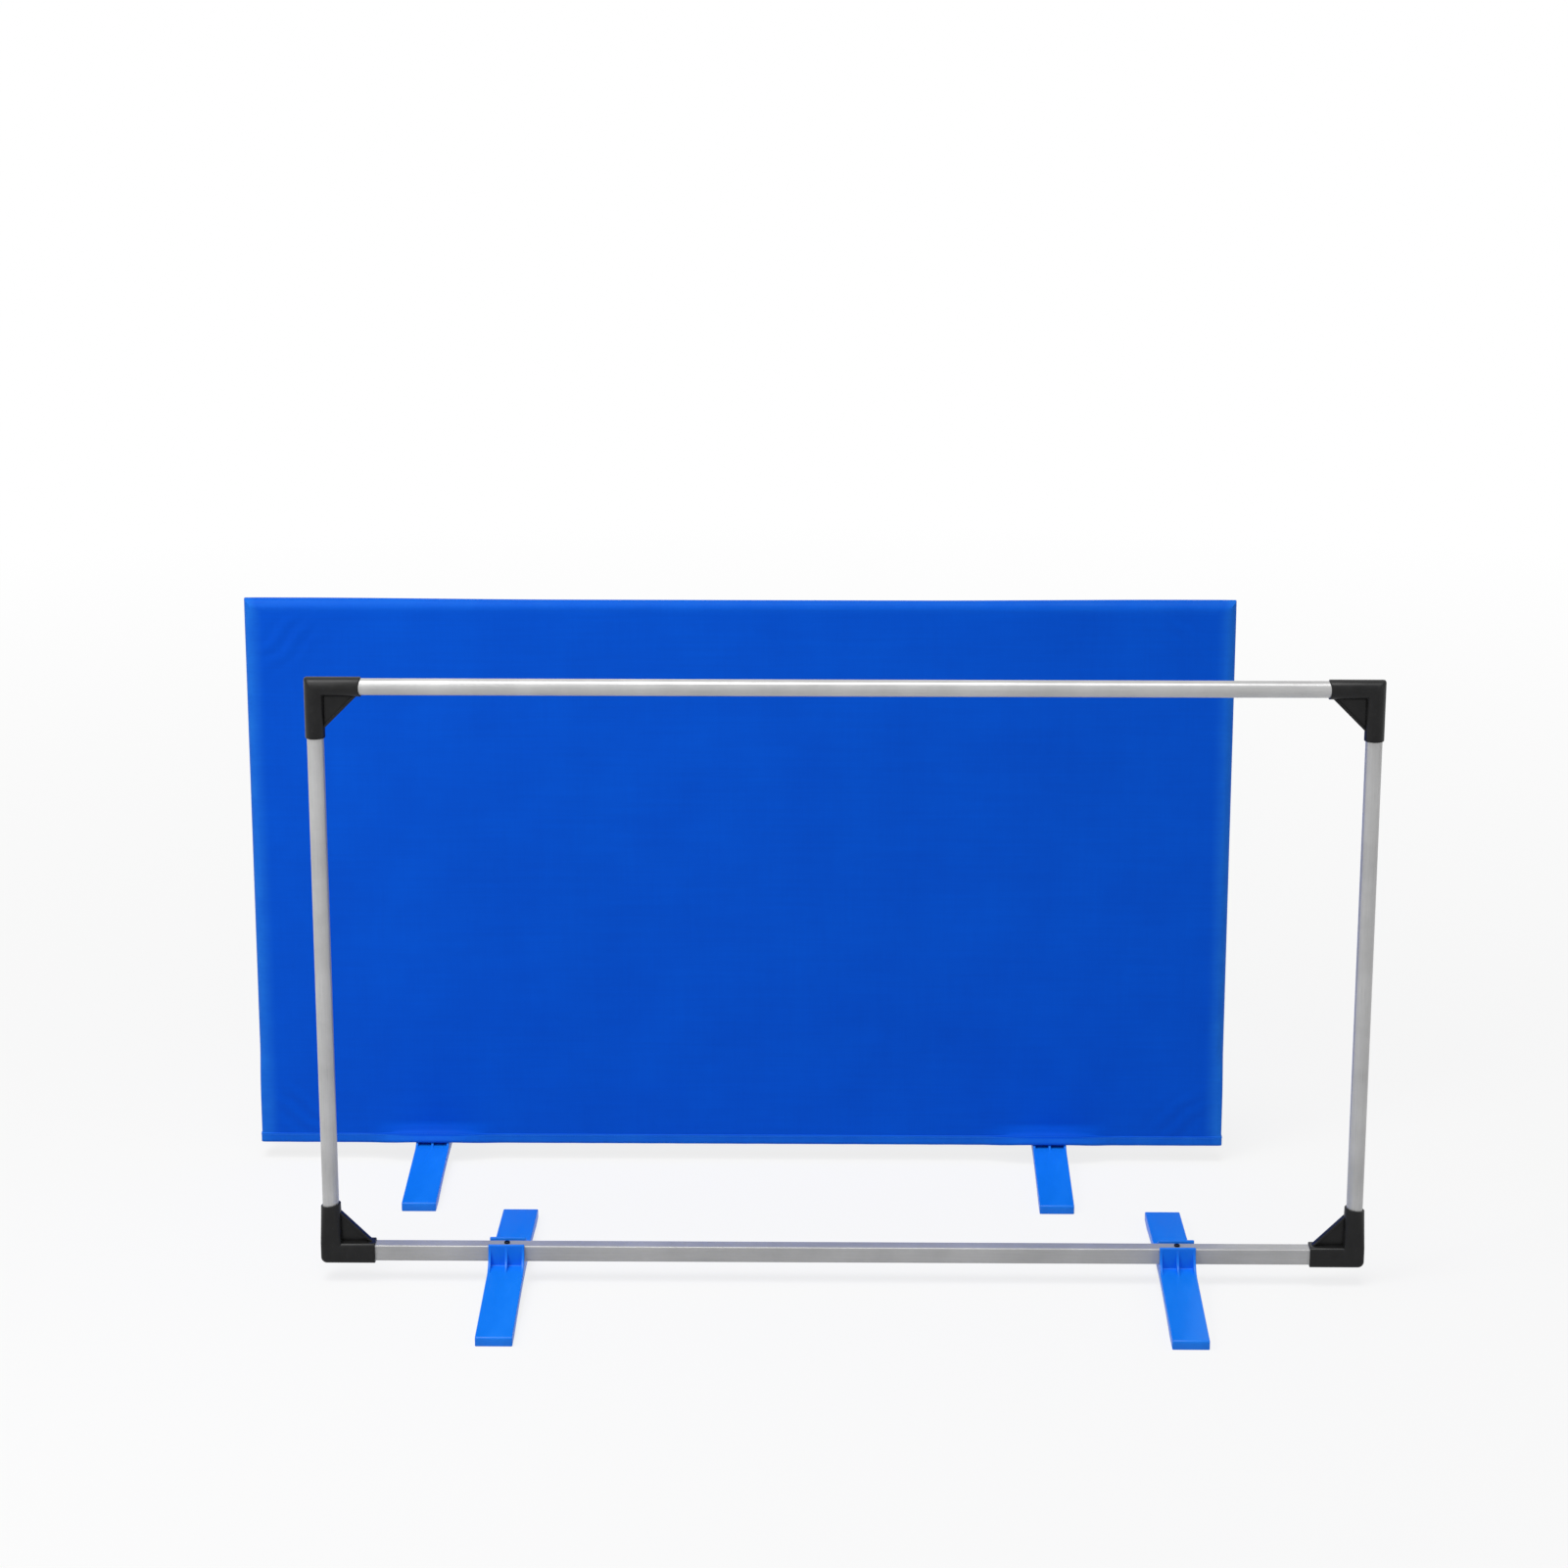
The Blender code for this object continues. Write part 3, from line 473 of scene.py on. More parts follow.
def blue_cloth():
    """Coated blue cloth: close weave, weft streaks across, soft mottling, a dull sheen."""
    mat, shader = new_material("coated_cloth", specular=0.05)
    for key, value in (("Weight", 0.035), ("Roughness", 0.45), ("Tint", (0.15, 0.48, 1.0))):
        feed(mat, value, shader.inputs["Sheen " + key])
    mottle = noise(mat, 7.5, detail=5.0, rough=0.6)
    weft = noise(mat, 260.0, (0.03, 1.0, 1.0), detail=3.0)
    warp = noise(mat, 320.0, (1.0, 1.0, 0.03), detail=3.0)
    yarn = noise(mat, 2400.0, (1.0, 1.0, 0.6), detail=2.0)
    base = ramp(mat, mottle, (
        (0.26, (0.0003, 0.090, 0.675)),
        (0.52, (0.0005, 0.099, 0.715)),
        (0.78, (0.0008, 0.109, 0.755)),
    ))
    across = ramp(mat, weft, ((0.30, (0.90, 0.93, 0.96)), (0.70, (1.0, 1.0, 1.0))))
    down = ramp(mat, warp, ((0.30, (0.94, 0.96, 0.98)), (0.70, (1.0, 1.0, 1.0))))
    # Painted sheen: the cloth colour turns lighter along the side folds, the top fold and the hem.
    painted_fold_sheen = mixed(mat, painted_sheen_share(mat), base, PAINTED_SHEEN_COLOUR)
    woven = mixed(mat, 1.0, painted_fold_sheen, across, "MULTIPLY")
    colour = mixed(mat, 1.0, woven, down, "MULTIPLY")
    roughness = span(mat, mottle, 0.46, 0.60)
    bumps = ((yarn, 0.00008, 0.16), (weft, 0.00006, 0.14), (mottle, 0.0008, 0.10))
    return finish_material(mat, shader, colour, roughness, bumps)


def thread():
    """Sewing thread, a touch lighter than the cloth."""
    mat, shader = new_material("sewing_thread", specular=0.25)
    fibres = noise(mat, 3000.0, detail=2.0)
    base = ramp(mat, fibres, ((0.35, (0.008, 0.150, 0.72)), (0.65, (0.020, 0.200, 0.84))))
    return finish_material(mat, shader, base, 0.60, ((fibres, 0.00008, 0.30),))


def plated_steel(name, dark, light, roughness):
    """Small turned steel parts, with faint rings of tool marks and stains."""
    mat, shader = new_material(name, metallic=1.0)
    marks = noise(mat, 1800.0, (1.0, 1.0, 0.25), detail=4.0, rough=0.6)
    base = ramp(mat, marks, ((0.30, dark), (0.70, light)))
    uneven = span(mat, marks, roughness - 0.06, roughness + 0.08)
    return finish_material(mat, shader, base, uneven, ((marks, 0.00003, 0.25),))


# Mesh building. A shape is a list of rings of points; skins join them.

def skin(rings, looped=False):
    """Points and faces over rings, with the ends capped unless the row is a loop."""
    count = len(rings[0])
    points = [point for ring in rings for point in ring]
    faces = []
    rows = [range(start, start + count) for start in range(0, len(points), count)]
    pairs = list(zip(rows, rows[1:]))
    if looped:
        pairs.append((rows[-1], rows[0]))
    for near, far in pairs:
        for index in range(count):
            after = (index + 1) % count
            faces.append((near[index], near[after], far[after], far[index]))
    if not looped:
        faces += [rows[0], rows[-1]]
    return points, faces


def finish_mesh(form, mesh):
    """Writes a form to its mesh, smooth except at sharp edges."""
    form.to_mesh(mesh)
    form.free()
    mesh.shade_smooth()
    mesh.set_sharp_from_angle(angle=SHARP_ANGLE)
    return mesh


def build_mesh(name, points, faces, weld=0.0):
    """A mesh with outward faces; points closer than the weld distance are joined."""
    form = bmesh.new()
    made = [form.verts.new(point) for point in points]
    for face in faces:
        form.faces.new([made[index] for index in face])
    if weld:
        bmesh.ops.remove_doubles(form, verts=form.verts, dist=weld)
    bmesh.ops.recalc_face_normals(form, faces=form.faces)
    return finish_mesh(form, bpy.data.meshes.new(name))


def skin_mesh(name, rings, looped=False, weld=0.0):
    return build_mesh(name, *skin(rings, looped), weld)


def in_triangles(mesh):
    """Splits a mesh with twisted faces into flat ones, so that it can be united cleanly."""
    form = bmesh.new()
    form.from_mesh(mesh)
    bmesh.ops.triangulate(form, faces=form.faces)
    return finish_mesh(form, mesh)


def new_object(name, data, place=(0, 0, 0)):
    thing = bpy.data.objects.new(name, data)
    thing.location = place
    bpy.context.scene.collection.objects.link(thing)
    return thing


def combined(mesh, tools, operation):
    """A mesh united with, or cut by, each tool mesh in turn."""
    body = new_object("body", mesh)
    helpers = [new_object("tool", tool) for tool in tools]
    for helper in helpers:
        step = body.modifiers.new(operation, "BOOLEAN")
        step.operation = operation
        step.solver = "EXACT"
        step.object = helper
    graph = bpy.context.evaluated_depsgraph_get()
    result = bpy.data.meshes.new_from_object(body.evaluated_get(graph))
    result.name = mesh.name
    form = bmesh.new()
    form.from_mesh(result)
    bmesh.ops.remove_doubles(form, verts=form.verts, dist=WELD_DISTANCE)
    bmesh.ops.dissolve_degenerate(form, edges=form.edges, dist=WELD_DISTANCE)
    for helper in helpers + [body]:
        bpy.data.objects.remove(helper)
    return finish_mesh(form, result)


def add_piece(name, mesh, mat, place, body, node):
    """Puts a piece in the scene, on its body, in the place of its frame node."""
    mesh.materials.clear()
    mesh.materials.append(mat)
    piece = new_object(name, mesh, place)
    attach(piece, body)
    if node:
        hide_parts(node)
    return piece


def quarter_turns(steps):
    """Angles from 0 to a right angle."""
    return [step / steps * math.pi / 2 for step in range(steps + 1)]


# Sections, as (across, deep) pairs that start on the across axis

def round_section(radius, facets, turned_steps=0.0):
    turns = [(index + turned_steps) * math.tau / facets for index in range(facets)]
    return [(radius * math.cos(turn), radius * math.sin(turn)) for turn in turns]


def drill_section(radius):
    """Turned by half a facet, so that no point of it meets an edge of what it cuts."""
    return round_section(radius, FASTENER_FACETS, 0.5)


def square_section(half, corner_radius):
    """A square with rounded corners: each side has a middle and two quarter points."""
    flat = half - corner_radius
    quadrant = [(half, 0.0), (half, flat / 2)]
    for turn in quarter_turns(CORNER_ARC_POINTS - 1):
        reach, rise = corner_radius * math.cos(turn), corner_radius * math.sin(turn)
        quadrant.append((flat + reach, flat + rise))
    quadrant.append((flat / 2, half))
    points = []
    for _ in range(4):
        points += quadrant
        quadrant = [(-deep, across) for across, deep in quadrant]
    return points


def scaled_section(section, half, inset):
    share = (half - inset) / half
    return [(across * share, deep * share) for across, deep in section]


def arc(reach, height, radius, start, end):
    """Points of an arc about a centre; angles in quarter turns."""
    points = []
    for step in range(ARC_STEPS + 1):
        turn = (start + (end - start) * step / ARC_STEPS) * math.pi / 2
        points.append((reach + radius * math.cos(turn), height + radius * math.sin(turn)))
    return points


def inset_outline(outline, distance):
    """A closed outline moved inwards."""
    area = sum(a[0] * b[1] - b[0] * a[1] for a, b in zip(outline, outline[1:] + outline[:1]))
    inwards = math.copysign(distance, area)
    moved = []
    around = zip(outline[-1:] + outline, outline, outline[1:] + outline[:1])
    for before, point, after in around:
        normals = []
        for start, end in ((before, point), (point, after)):
            run, climb = end[0] - start[0], end[1] - start[1]
            length = math.hypot(run, climb)
            normals.append((-climb / length, run / length))
        (ax, ay), (bx, by) = normals
        spread = 1 + ax * bx + ay * by
        moved.append((
            point[0] + inwards * (ax + bx) / spread,
            point[1] + inwards * (ay + by) / spread,
        ))
    return moved


def prism(name, outline, axis, low, high, edge_radius=0.0):
    """Extrudes a closed outline along axis 0, 1 or 2, with its long edges rounded if asked."""
    levels = [(low, 0.0), (high, 0.0)]
    if edge_radius:
        rounding = [
            (edge_radius * (1 - math.cos(turn)), edge_radius * (1 - math.sin(turn)))
            for turn in quarter_turns(EDGE_STEPS)
        ]
        levels = [(low + along, inset) for along, inset in rounding]
        levels += [(high - along, inset) for along, inset in rounding[::-1]]
    rings = []
    for level, inset in levels:
        ring = inset_outline(outline, inset) if inset else outline
        rings.append([(*point[:axis], level, *point[axis:]) for point in ring])
    return skin_mesh(name, rings)


# Tubes and rail

def bar_mesh(name, outer, outer_half, inner, inner_half, half_length, axis):
    """A hollow bar about its own middle, with slightly rounded cut ends."""
    rounded = half_length - TUBE_END_ROUND
    rings = []
    for section, half, way in ((outer, outer_half, 1), (inner, inner_half, -1)):
        cut = scaled_section(section, half, way * TUBE_END_ROUND)
        for part, level in (
            (cut, -half_length), (section, -rounded), (section, rounded), (cut, half_length)
        ):
            level *= way
            if axis == 0:
                rings.append([(level, *point[::-1]) for point in part])
            else:
                rings.append([(*point, level) for point in part])
    return skin_mesh(name, rings, looped=True)


def tube_mesh(name, node, axis):
    outer = round_section(TUBE_RADIUS, TUBE_FACETS)
    inner_radius = TUBE_RADIUS - BAR_WALL
    inner = round_section(inner_radius, TUBE_FACETS)
    half = frame_half(node, axis)
    return bar_mesh(name, outer, TUBE_RADIUS, inner, inner_radius, half, axis)


def rail_mesh():
    outer = square_section(RAIL_HALF, RAIL_CORNER_RADIUS)
    inner_half = RAIL_HALF - BAR_WALL
    inner = square_section(inner_half, RAIL_CORNER_RADIUS - BAR_WALL)
    half = frame_half("bare_bottom_rail", 0)
    rail = bar_mesh("rail", outer, RAIL_HALF, inner, inner_half, half, 0)
    hole = drill_section(SCREW_HOLE_RADIUS)
    reach = RAIL_HALF + CUT_OVERRUN
    drills = []
    for x in (-FOOT_X, FOOT_X):
        placed = [(across + x, deep) for across, deep in hole]
        drills.append(prism("drill", placed, 2, -reach, reach))
    return combined(rail, drills, "DIFFERENCE")


# Corners, drawn about the crossing of their two tube axes; "in" runs towards the middle of the
# frame and "up" along the upright.

def elbow_reach(turn, size, radius):
    """Distance from the inner corner to the outer outline, a square with one round."""
    flat = size - radius
    if math.tan(turn) * size <= flat:
        return size / math.cos(turn)
    if size <= flat * math.tan(turn):
        return size / math.sin(turn)
    along = flat * (math.sin(turn) + math.cos(turn))
    return along + math.sqrt(along ** 2 - 2 * flat ** 2 + radius ** 2)


def elbow_rings(section, half, radius):
    """Rings that fan round the inner corner from the horizontal arm to the upright arm."""
    size = half * 2
    start = math.atan((size - radius) / size)
    opening = math.pi / 2 - start * 2
    turns = [start + step / ELBOW_STEPS * opening for step in range(ELBOW_STEPS + 1)]
    turns = [0.0] + turns + [math.pi / 2]
    rings = []
    for step, round_turn in enumerate(turns):
        even_turn = step / (len(turns) - 1) * math.pi / 2
        ring = []
        for across, deep in section:
            away = half - across
            turn = even_turn + (round_turn - even_turn) * away / size
            reach = away * elbow_reach(turn, size, radius) / size
            ring.append((half - reach * math.sin(turn), half - reach * math.cos(turn), deep))
        rings.append(ring)
    return rings


def arm_ring(section, level, upright, half, scallop=0.0, slant=0.0):
    """One ring across an arm, with its mouth scalloped at front and back or slanted."""
    ring = []
    for across, deep in section:
        place = level - scallop * (deep / half) ** 2 + slant * across / half
        ring.append((across, place, deep) if upright else (place, across, deep))
    return ring


def socket_rings(arm, corner_half, upright):
    """Rings of a socket from its outer wall over a rounded lip to the floor of its bore.

    An arm is (mouth section, mouth half, bore, bore half, length, scallop, slant).
    """
    section, half, bore, bore_half, length, scallop, slant = arm
    mouth = length - corner_half
    rings = []
    for turn in quarter_turns(EDGE_STEPS):
        inset = SOCKET_LIP * (1 - math.cos(turn))
        level = mouth - SOCKET_LIP * (1 - math.sin(turn))
        part = scaled_section(section, half, inset)
        rings.append(arm_ring(part, level, upright, half, scallop, slant))
    opened = scaled_section(bore, bore_half, -BORE_LIP)
    rings.append(arm_ring(opened, mouth, upright, half, scallop, slant))
    rings.append(arm_ring(bore, mouth - BORE_LIP, upright, half, scallop, slant))
    return rings + [arm_ring(bore, CORNER_BLOCK - corner_half, upright, half)]


def corner_mesh(name, side, rise, radius, across_arm, upright_arm):
    """An elbow with two sockets and its web. rise is -1 for a top corner, 1 for a bottom one."""
    section, half = across_arm[:2]
    rings = socket_rings(across_arm, half, False)[::-1]
    rings += elbow_rings(section, half, radius)
    rings += socket_rings(upright_arm, half, True)
    placed = [[(-side * a, deep, rise * b) for a, b, deep in ring] for ring in rings]
    elbow = in_triangles(skin_mesh(name, placed, weld=WELD_DISTANCE))

    inner = half - WEB_EMBED
    rim_run = WEB_RIM_WIDTH * math.sqrt(2)
    tip = half + WEB_LEG - rim_run / 2
    far = half + WEB_LEG + WEB_EMBED
    near = far - rim_run
    plate = [(inner, inner), (tip, inner), (inner, tip)]
    rim = [(far, inner), (inner, far), (inner, near), (near, inner)]
    webs = []
    for outline, thickness, edge in (
        (plate, WEB_THICKNESS, 0.0),
        (rim, WEB_RIM_THICKNESS, WEB_RIM_EDGE),
    ):
        outline = [(-side * a, rise * b) for a, b in outline]
        webs.append(prism("web", outline, 1, -thickness / 2, thickness / 2, edge))
    return combined(elbow, webs, "UNION")


def top_corner_mesh(side):
    section = round_section(TOP_HALF, SOCKET_FACETS)
    bore = round_section(TUBE_BORE, SOCKET_FACETS)
    across = (section, TOP_HALF, bore, TUBE_BORE, TOP_ARM_ACROSS, TOP_MOUTH_SCALLOP, 0.0)
    upright = (section, TOP_HALF, bore, TUBE_BORE, TOP_ARM_DOWN, 0.0, 0.0)
    return corner_mesh("top_corner", side, -1, TOP_CORNER_RADIUS, across, upright)


def bottom_corner_mesh(side):
    section = square_section(BOTTOM_HALF, BOTTOM_EDGE_RADIUS)
    mouth_half = BOTTOM_MOUTH_SIZE / 2
    mouth = round_section(mouth_half, SOCKET_FACETS)
    rail_bore = square_section(RAIL_BORE, RAIL_CORNER_RADIUS + SOCKET_CLEARANCE)
    bore = round_section(TUBE_BORE, SOCKET_FACETS)
    across = (section, BOTTOM_HALF, rail_bore, RAIL_BORE, BOTTOM_ARM_ACROSS, 0.0, 0.0)
    upright = (mouth, mouth_half, bore, TUBE_BORE, BOTTOM_ARM_UP, 0.0, BOTTOM_MOUTH_SLANT)
    return corner_mesh("bottom_corner", side, 1, BOTTOM_CORNER_RADIUS, across, upright)


# Feet. The side outline lists (reach, height) of one half, and is mirrored for the other.

def arm_top(reach):
    share = (reach - SADDLE_OUTER) / (FOOT_REACH - SADDLE_OUTER)
    return FOOT_ROOT_HEIGHT + (FOOT_TIP_HEIGHT - FOOT_ROOT_HEIGHT) * share


def foot_half_outline():
    """From the middle of the saddle's floor over its wall and the arm round to the arch."""
    inner = RAIL_BORE + SADDLE_TOP_RADIUS
    outer = SADDLE_OUTER - SADDLE_TOP_RADIUS
    wall = SADDLE_OUTER + SADDLE_FILLET
    tip = FOOT_REACH - FOOT_TIP_RADIUS
    sole = FOOT_REACH - FOOT_SOLE_RADIUS
    points = [(0.0, SADDLE_FLOOR_Z), (RAIL_BORE, SADDLE_FLOOR_Z)]
    for bend in (
        (inner, RIB_TOP_Z, SADDLE_TOP_RADIUS, 2, 1),
        (outer, RIB_TOP_Z, SADDLE_TOP_RADIUS, 1, 0),
        (wall, arm_top(wall) + SADDLE_FILLET, SADDLE_FILLET, 2, 3),
        (tip, arm_top(tip) - FOOT_TIP_RADIUS, FOOT_TIP_RADIUS, 1, 0),
        (sole, FOOT_SOLE_RADIUS, FOOT_SOLE_RADIUS, 0, -1),
    ):
        points += arc(*bend)
    heel = FOOT_REACH - FOOT_PAD_LENGTH
    points.append((heel, 0.0))
    half_steps = ARCH_STEPS // 2
    for step in range(1, half_steps):
        reach = heel * (1 - step / half_steps)
        points.append((reach, FOOT_ARCH_RISE * (1 - (reach / heel) ** 2)))
    return points


def rib_mesh(facing, start, end):
    """One rib with its hollow curve, sunk into the wall and the arm."""
    toe = SADDLE_OUTER + RIB_REACH
    low = arm_top(toe) - RIB_TOE_SINK
    heel = SADDLE_OUTER - RIB_EMBED
    outline = []
    for turn in quarter_turns(RIB_STEPS):
        reach = toe - RIB_REACH * math.cos(turn)
        outline.append((reach, RIB_TOP_Z - (RIB_TOP_Z - low) * math.sin(turn)))
    outline += [(toe, low - RIB_EMBED), (heel, low - RIB_EMBED), (heel, RIB_TOP_Z)]
    outline = [(facing * reach, height) for reach, height in outline]
    return prism("rib", outline, 0, start, end, RIB_EDGE_RADIUS)


def foot_mesh():
    right = foot_half_outline()
    left = [(-reach, height) for reach, height in right[:0:-1]]
    outline = right + [(0.0, FOOT_ARCH_RISE)] + left
    half = FOOT_HALF_WIDTH
    body = prism("foot", outline, 0, -half, half, FOOT_EDGE_RADIUS)
    side = half - RIB_SIDE_STEP
    ribs = []
    cutters = []
    for facing in (-1, 1):
        for start in (-side, -RIB_THICKNESS / 2, side - RIB_THICKNESS):
            ribs.append(rib_mesh(facing, start, start + RIB_THICKNESS))
        for core in range(CORES_PER_ARM):
            near = CORE_START + core * (CORE_LENGTH + CORE_RIB)
            far = near + CORE_LENGTH
            hollow = [
                (near, -CUT_OVERRUN), (far, -CUT_OVERRUN),
                (far, arm_top(far) - CORE_SKIN), (near, arm_top(near) - CORE_SKIN),
            ]
            hollow = [(facing * reach, height) for reach, height in hollow]
            cutters.append(prism("core", hollow, 0, -half + CORE_SKIRT, half - CORE_SKIRT))
    for radius, top in (
        (SCREW_HOLE_RADIUS, SADDLE_FLOOR_Z + CUT_OVERRUN),
        (NUT_POCKET_DIAMETER / 2, NUT_POCKET_Z),
    ):
        cutters.append(prism("drill", drill_section(radius), 2, -CUT_OVERRUN, top))
    return combined(combined(body, ribs, "UNION"), cutters, "DIFFERENCE")


# Fasteners, in place about their own axis, with heights from the frame

def turned_rings(profile):
    return [
        [(*point, level) for point in round_section(radius, FASTENER_FACETS)]
        for radius, level in profile
    ]


def hexagon(width, facets):
    """A hexagon of this width across its flats, with this many points."""
    points = []
    for index in range(facets):
        turn = index / facets * math.tau
        beside = (turn + math.pi / 6) % (math.pi / 3) - math.pi / 6
        reach = width / 2 / math.cos(beside)
        points.append((reach * math.cos(turn), reach * math.sin(turn)))
    return points


def fastener_radius(node):
    """The radius round the corners of a fastener's frame solid."""
    return frame_half(node, 0) / math.cos(math.pi / FRAME_FASTENER_FACETS)


def screw_mesh(node):
    low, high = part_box(node)
    head = fastener_radius(node)
    seat = high.z - SCREW_HEAD_HEIGHT
    shank = SCREW_DIAMETER / 2
    profile = [
        (shank - SCREW_POINT, low.z), (shank, low.z + SCREW_POINT), (shank, seat), (head, seat),
    ]
    profile += arc(head - SCREW_CROWN, high.z - SCREW_CROWN, SCREW_CROWN, 0, 1)
    screw = skin_mesh("foot_screw", turned_rings(profile))
    key = hexagon(SCREW_SOCKET_WIDTH, 6)
    floor = high.z - SCREW_SOCKET_DEPTH
    return combined(screw, [prism("key", key, 2, floor, high.z + CUT_OVERRUN)], "DIFFERENCE")


def washer_mesh(node):
    low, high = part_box(node)
    outer = fastener_radius(node)
    soft = (high.z - low.z) * WASHER_EDGE_SHARE
    profile = [
        (outer - soft, low.z), (outer, low.z + soft), (outer, high.z - soft),
        (outer - soft, high.z), (SCREW_HOLE_RADIUS, high.z), (SCREW_HOLE_RADIUS, low.z),
    ]
    return skin_mesh("foot_washer", turned_rings(profile), looped=True)


def nut_mesh(node):
    low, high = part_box(node)
    width = high.y - low.y
    flat = hexagon(width, FASTENER_FACETS)
    rounded = round_section(width / 2, FASTENER_FACETS)
    hole = round_section(SCREW_HOLE_RADIUS, FASTENER_FACETS)
    rings = []
    for section, level in (
        (rounded, low.z), (flat, low.z + NUT_CHAMFER), (flat, high.z - NUT_CHAMFER),
        (rounded, high.z), (hole, high.z), (hole, low.z),
    ):
        rings.append([(*point, level) for point in section])
    return skin_mesh("foot_nut", rings, looped=True)


# Cover. x runs from the middle of the dressed barrier, depth is measured from its middle plane.

def smooth_step(value, low, high):
    share = np.clip((value - low) / (high - low), 0.0, 1.0)
    return share * share * (3 - 2 * share)


def foot_weight(x):
    """1 where the cloth passes a foot, fading to 0 beside it."""
    beside = np.abs(np.abs(x) - FOOT_X) - FOOT_HALF_WIDTH
    return (1 + np.cos(np.pi * np.clip(beside / FOOT_SPREAD, 0.0, 1.0))) / 2


def hem_height(x):
    return HEM_HEIGHT + HEM_RISE_AT_FOOT * foot_weight(x)


def rib_reach(height):
    """Distance of the hollow curve of a foot's ribs from the rail at a height."""
    toe = SADDLE_OUTER + RIB_REACH
    low = arm_top(toe)
    share = 1 - (height - low) / (SADDLE_TOP_Z - low)
    return toe - RIB_REACH * np.sqrt(np.clip(1 - share ** 2, 0.0, 1.0))


def half_depth(x, z):
    """Half depth inside the cover: narrow over the tubes, wider over sockets and feet."""
    socket_edge = UPRIGHT_X + TOP_HALF - TOP_ARM_ACROSS
    over_socket = smooth_step(np.abs(x), socket_edge - TOP_BLEND, socket_edge)
    top = TUBE_RADIUS + (TOP_HALF - TUBE_RADIUS) * over_socket
    share = (z - HEM_HEIGHT) / (TOP_TUBE_Z - HEM_HEIGHT)
    plain = BOTTOM_HALF + (top - BOTTOM_HALF) * share + CLOTH_EASE
    hem = hem_height(x)
    at_hem = rib_reach(hem) + CLOTH_EASE - plain
    at_wall = SADDLE_OUTER + CLOTH_EASE - plain
    climb = np.clip((z - hem) / (SADDLE_TOP_Z - hem), 0.0, 1.0)
    below = at_hem + (at_wall - at_hem) * climb
    above = at_wall * (1 - smooth_step(z, SADDLE_TOP_Z, SADDLE_TOP_Z + LEAN_HEIGHT))
    extra = np.where(z <= SADDLE_TOP_Z, below, above)
    return plain + np.maximum(extra, 0.0) * foot_weight(x)


def waves(x, z, terms):
    """A sum of plane waves."""
    total = 0.0
    for share, length, direction, phase in terms:
        along = x * math.cos(direction) + z * math.sin(direction)
        total = total + share * np.sin(along / length * math.tau + phase)
    return total


def relief(x, z, facing):
    """How far the cloth stands off its stretched shape: slack, corner folds and hem."""
    from_side = UPRIGHT_X - np.abs(x)
    from_top = TOP_TUBE_Z - z
    from_hem = z - hem_height(x)
    inside = smooth_step(from_side, 0.0, SLACK_ZONE) * smooth_step(from_top, 0.0, SLACK_ZONE)
    inside = inside * smooth_step(from_hem, HEM_BAND, SLACK_ZONE)
    slack = SLACK_DEPTH * inside * waves(x + facing * SLACK_SHIFT, z, SLACK_WAVES)
    edge = smooth_step(from_side, 0.0, CREASE_START)
    second, rate = CREASE_SECOND_WAVE
    creases = 0.0
    for corner, share in enumerate(CREASE_CORNER_SHARES):
        down = from_hem if corner > 1 else from_top
        side = 1 if corner % 2 else -1
        away = (from_side + down) / math.sqrt(2) - CREASE_PLACE
        beside = (from_side - down) / math.sqrt(2)
        strength = np.exp(-(away / CREASE_SPREAD) ** 2 - (beside / CREASE_HALF_LENGTH) ** 2)
        strength = strength * edge * smooth_step(down, 0.0, CREASE_START)
        strength = strength * (x * side > 0) * share
        phase = corner * CREASE_CORNER_PHASE + facing * CREASE_FACING_PHASE
        bend = np.sin(beside / CREASE_WOBBLE + phase)
        bend = bend + second * np.sin(beside / CREASE_WOBBLE * rate)
        wave = np.sin(away / CREASE_PITCH * math.tau + bend + phase)
        creases = creases + CREASE_DEPTH * strength * (0.5 + 0.5 * wave)
    hem = HEM_PROUD * (1 - smooth_step(from_hem, HEM_BAND, HEM_BAND + HEM_STEP))
    flutter = 0.5 + 0.5 * waves(x, z * 0, PUCKER_WAVES)
    flutter = smooth_step(-from_hem, -HEM_BAND, 0.0) * flutter
    return slack + creases + hem + PUCKER_DEPTH * flutter * edge


def spaced(low, high, spacing):
    count = max(2, round((high - low) / spacing) + 1)
    return list(np.linspace(low, high, count))


def cover_columns():
    """Places across the sheets, closer together near the sides."""
    zone = UPRIGHT_X - EDGE_ZONE
    left = spaced(-UPRIGHT_X, -zone, FINE_SPACING)
    middle = spaced(-zone, zone, WIDE_SPACING)[1:-1]
    return np.array(left + middle + spaced(zone, UPRIGHT_X, FINE_SPACING))


def cover_levels():
    """Heights of the rows above the hem where it doesn't rise, closer at hem and top."""
    low = HEM_BAND + HEM_STEP
    hem = [HEM_BAND * share for share in HEM_ROW_SHARES] + [STITCH_LINE, HEM_BAND, low]
    full = TOP_TUBE_Z - HEM_HEIGHT
    lower = spaced(low, EDGE_ZONE, FINE_SPACING)[1:]
    middle = spaced(EDGE_ZONE, full - EDGE_ZONE, WIDE_SPACING)[1:-1]
    return np.array(hem + lower + middle + spaced(full - EDGE_ZONE, full, FINE_SPACING))


def fold_power(z):
    """How square the side fold is: square over the bottom corners, round above them."""
    mouth = RAIL_Z - BOTTOM_HALF + BOTTOM_ARM_UP
    share = smooth_step(z, mouth - SOCKET_BLEND, mouth + FOLD_BLEND)
    return SQUARE_FOLD_POWER + (ROUND_FOLD_POWER - SQUARE_FOLD_POWER) * share


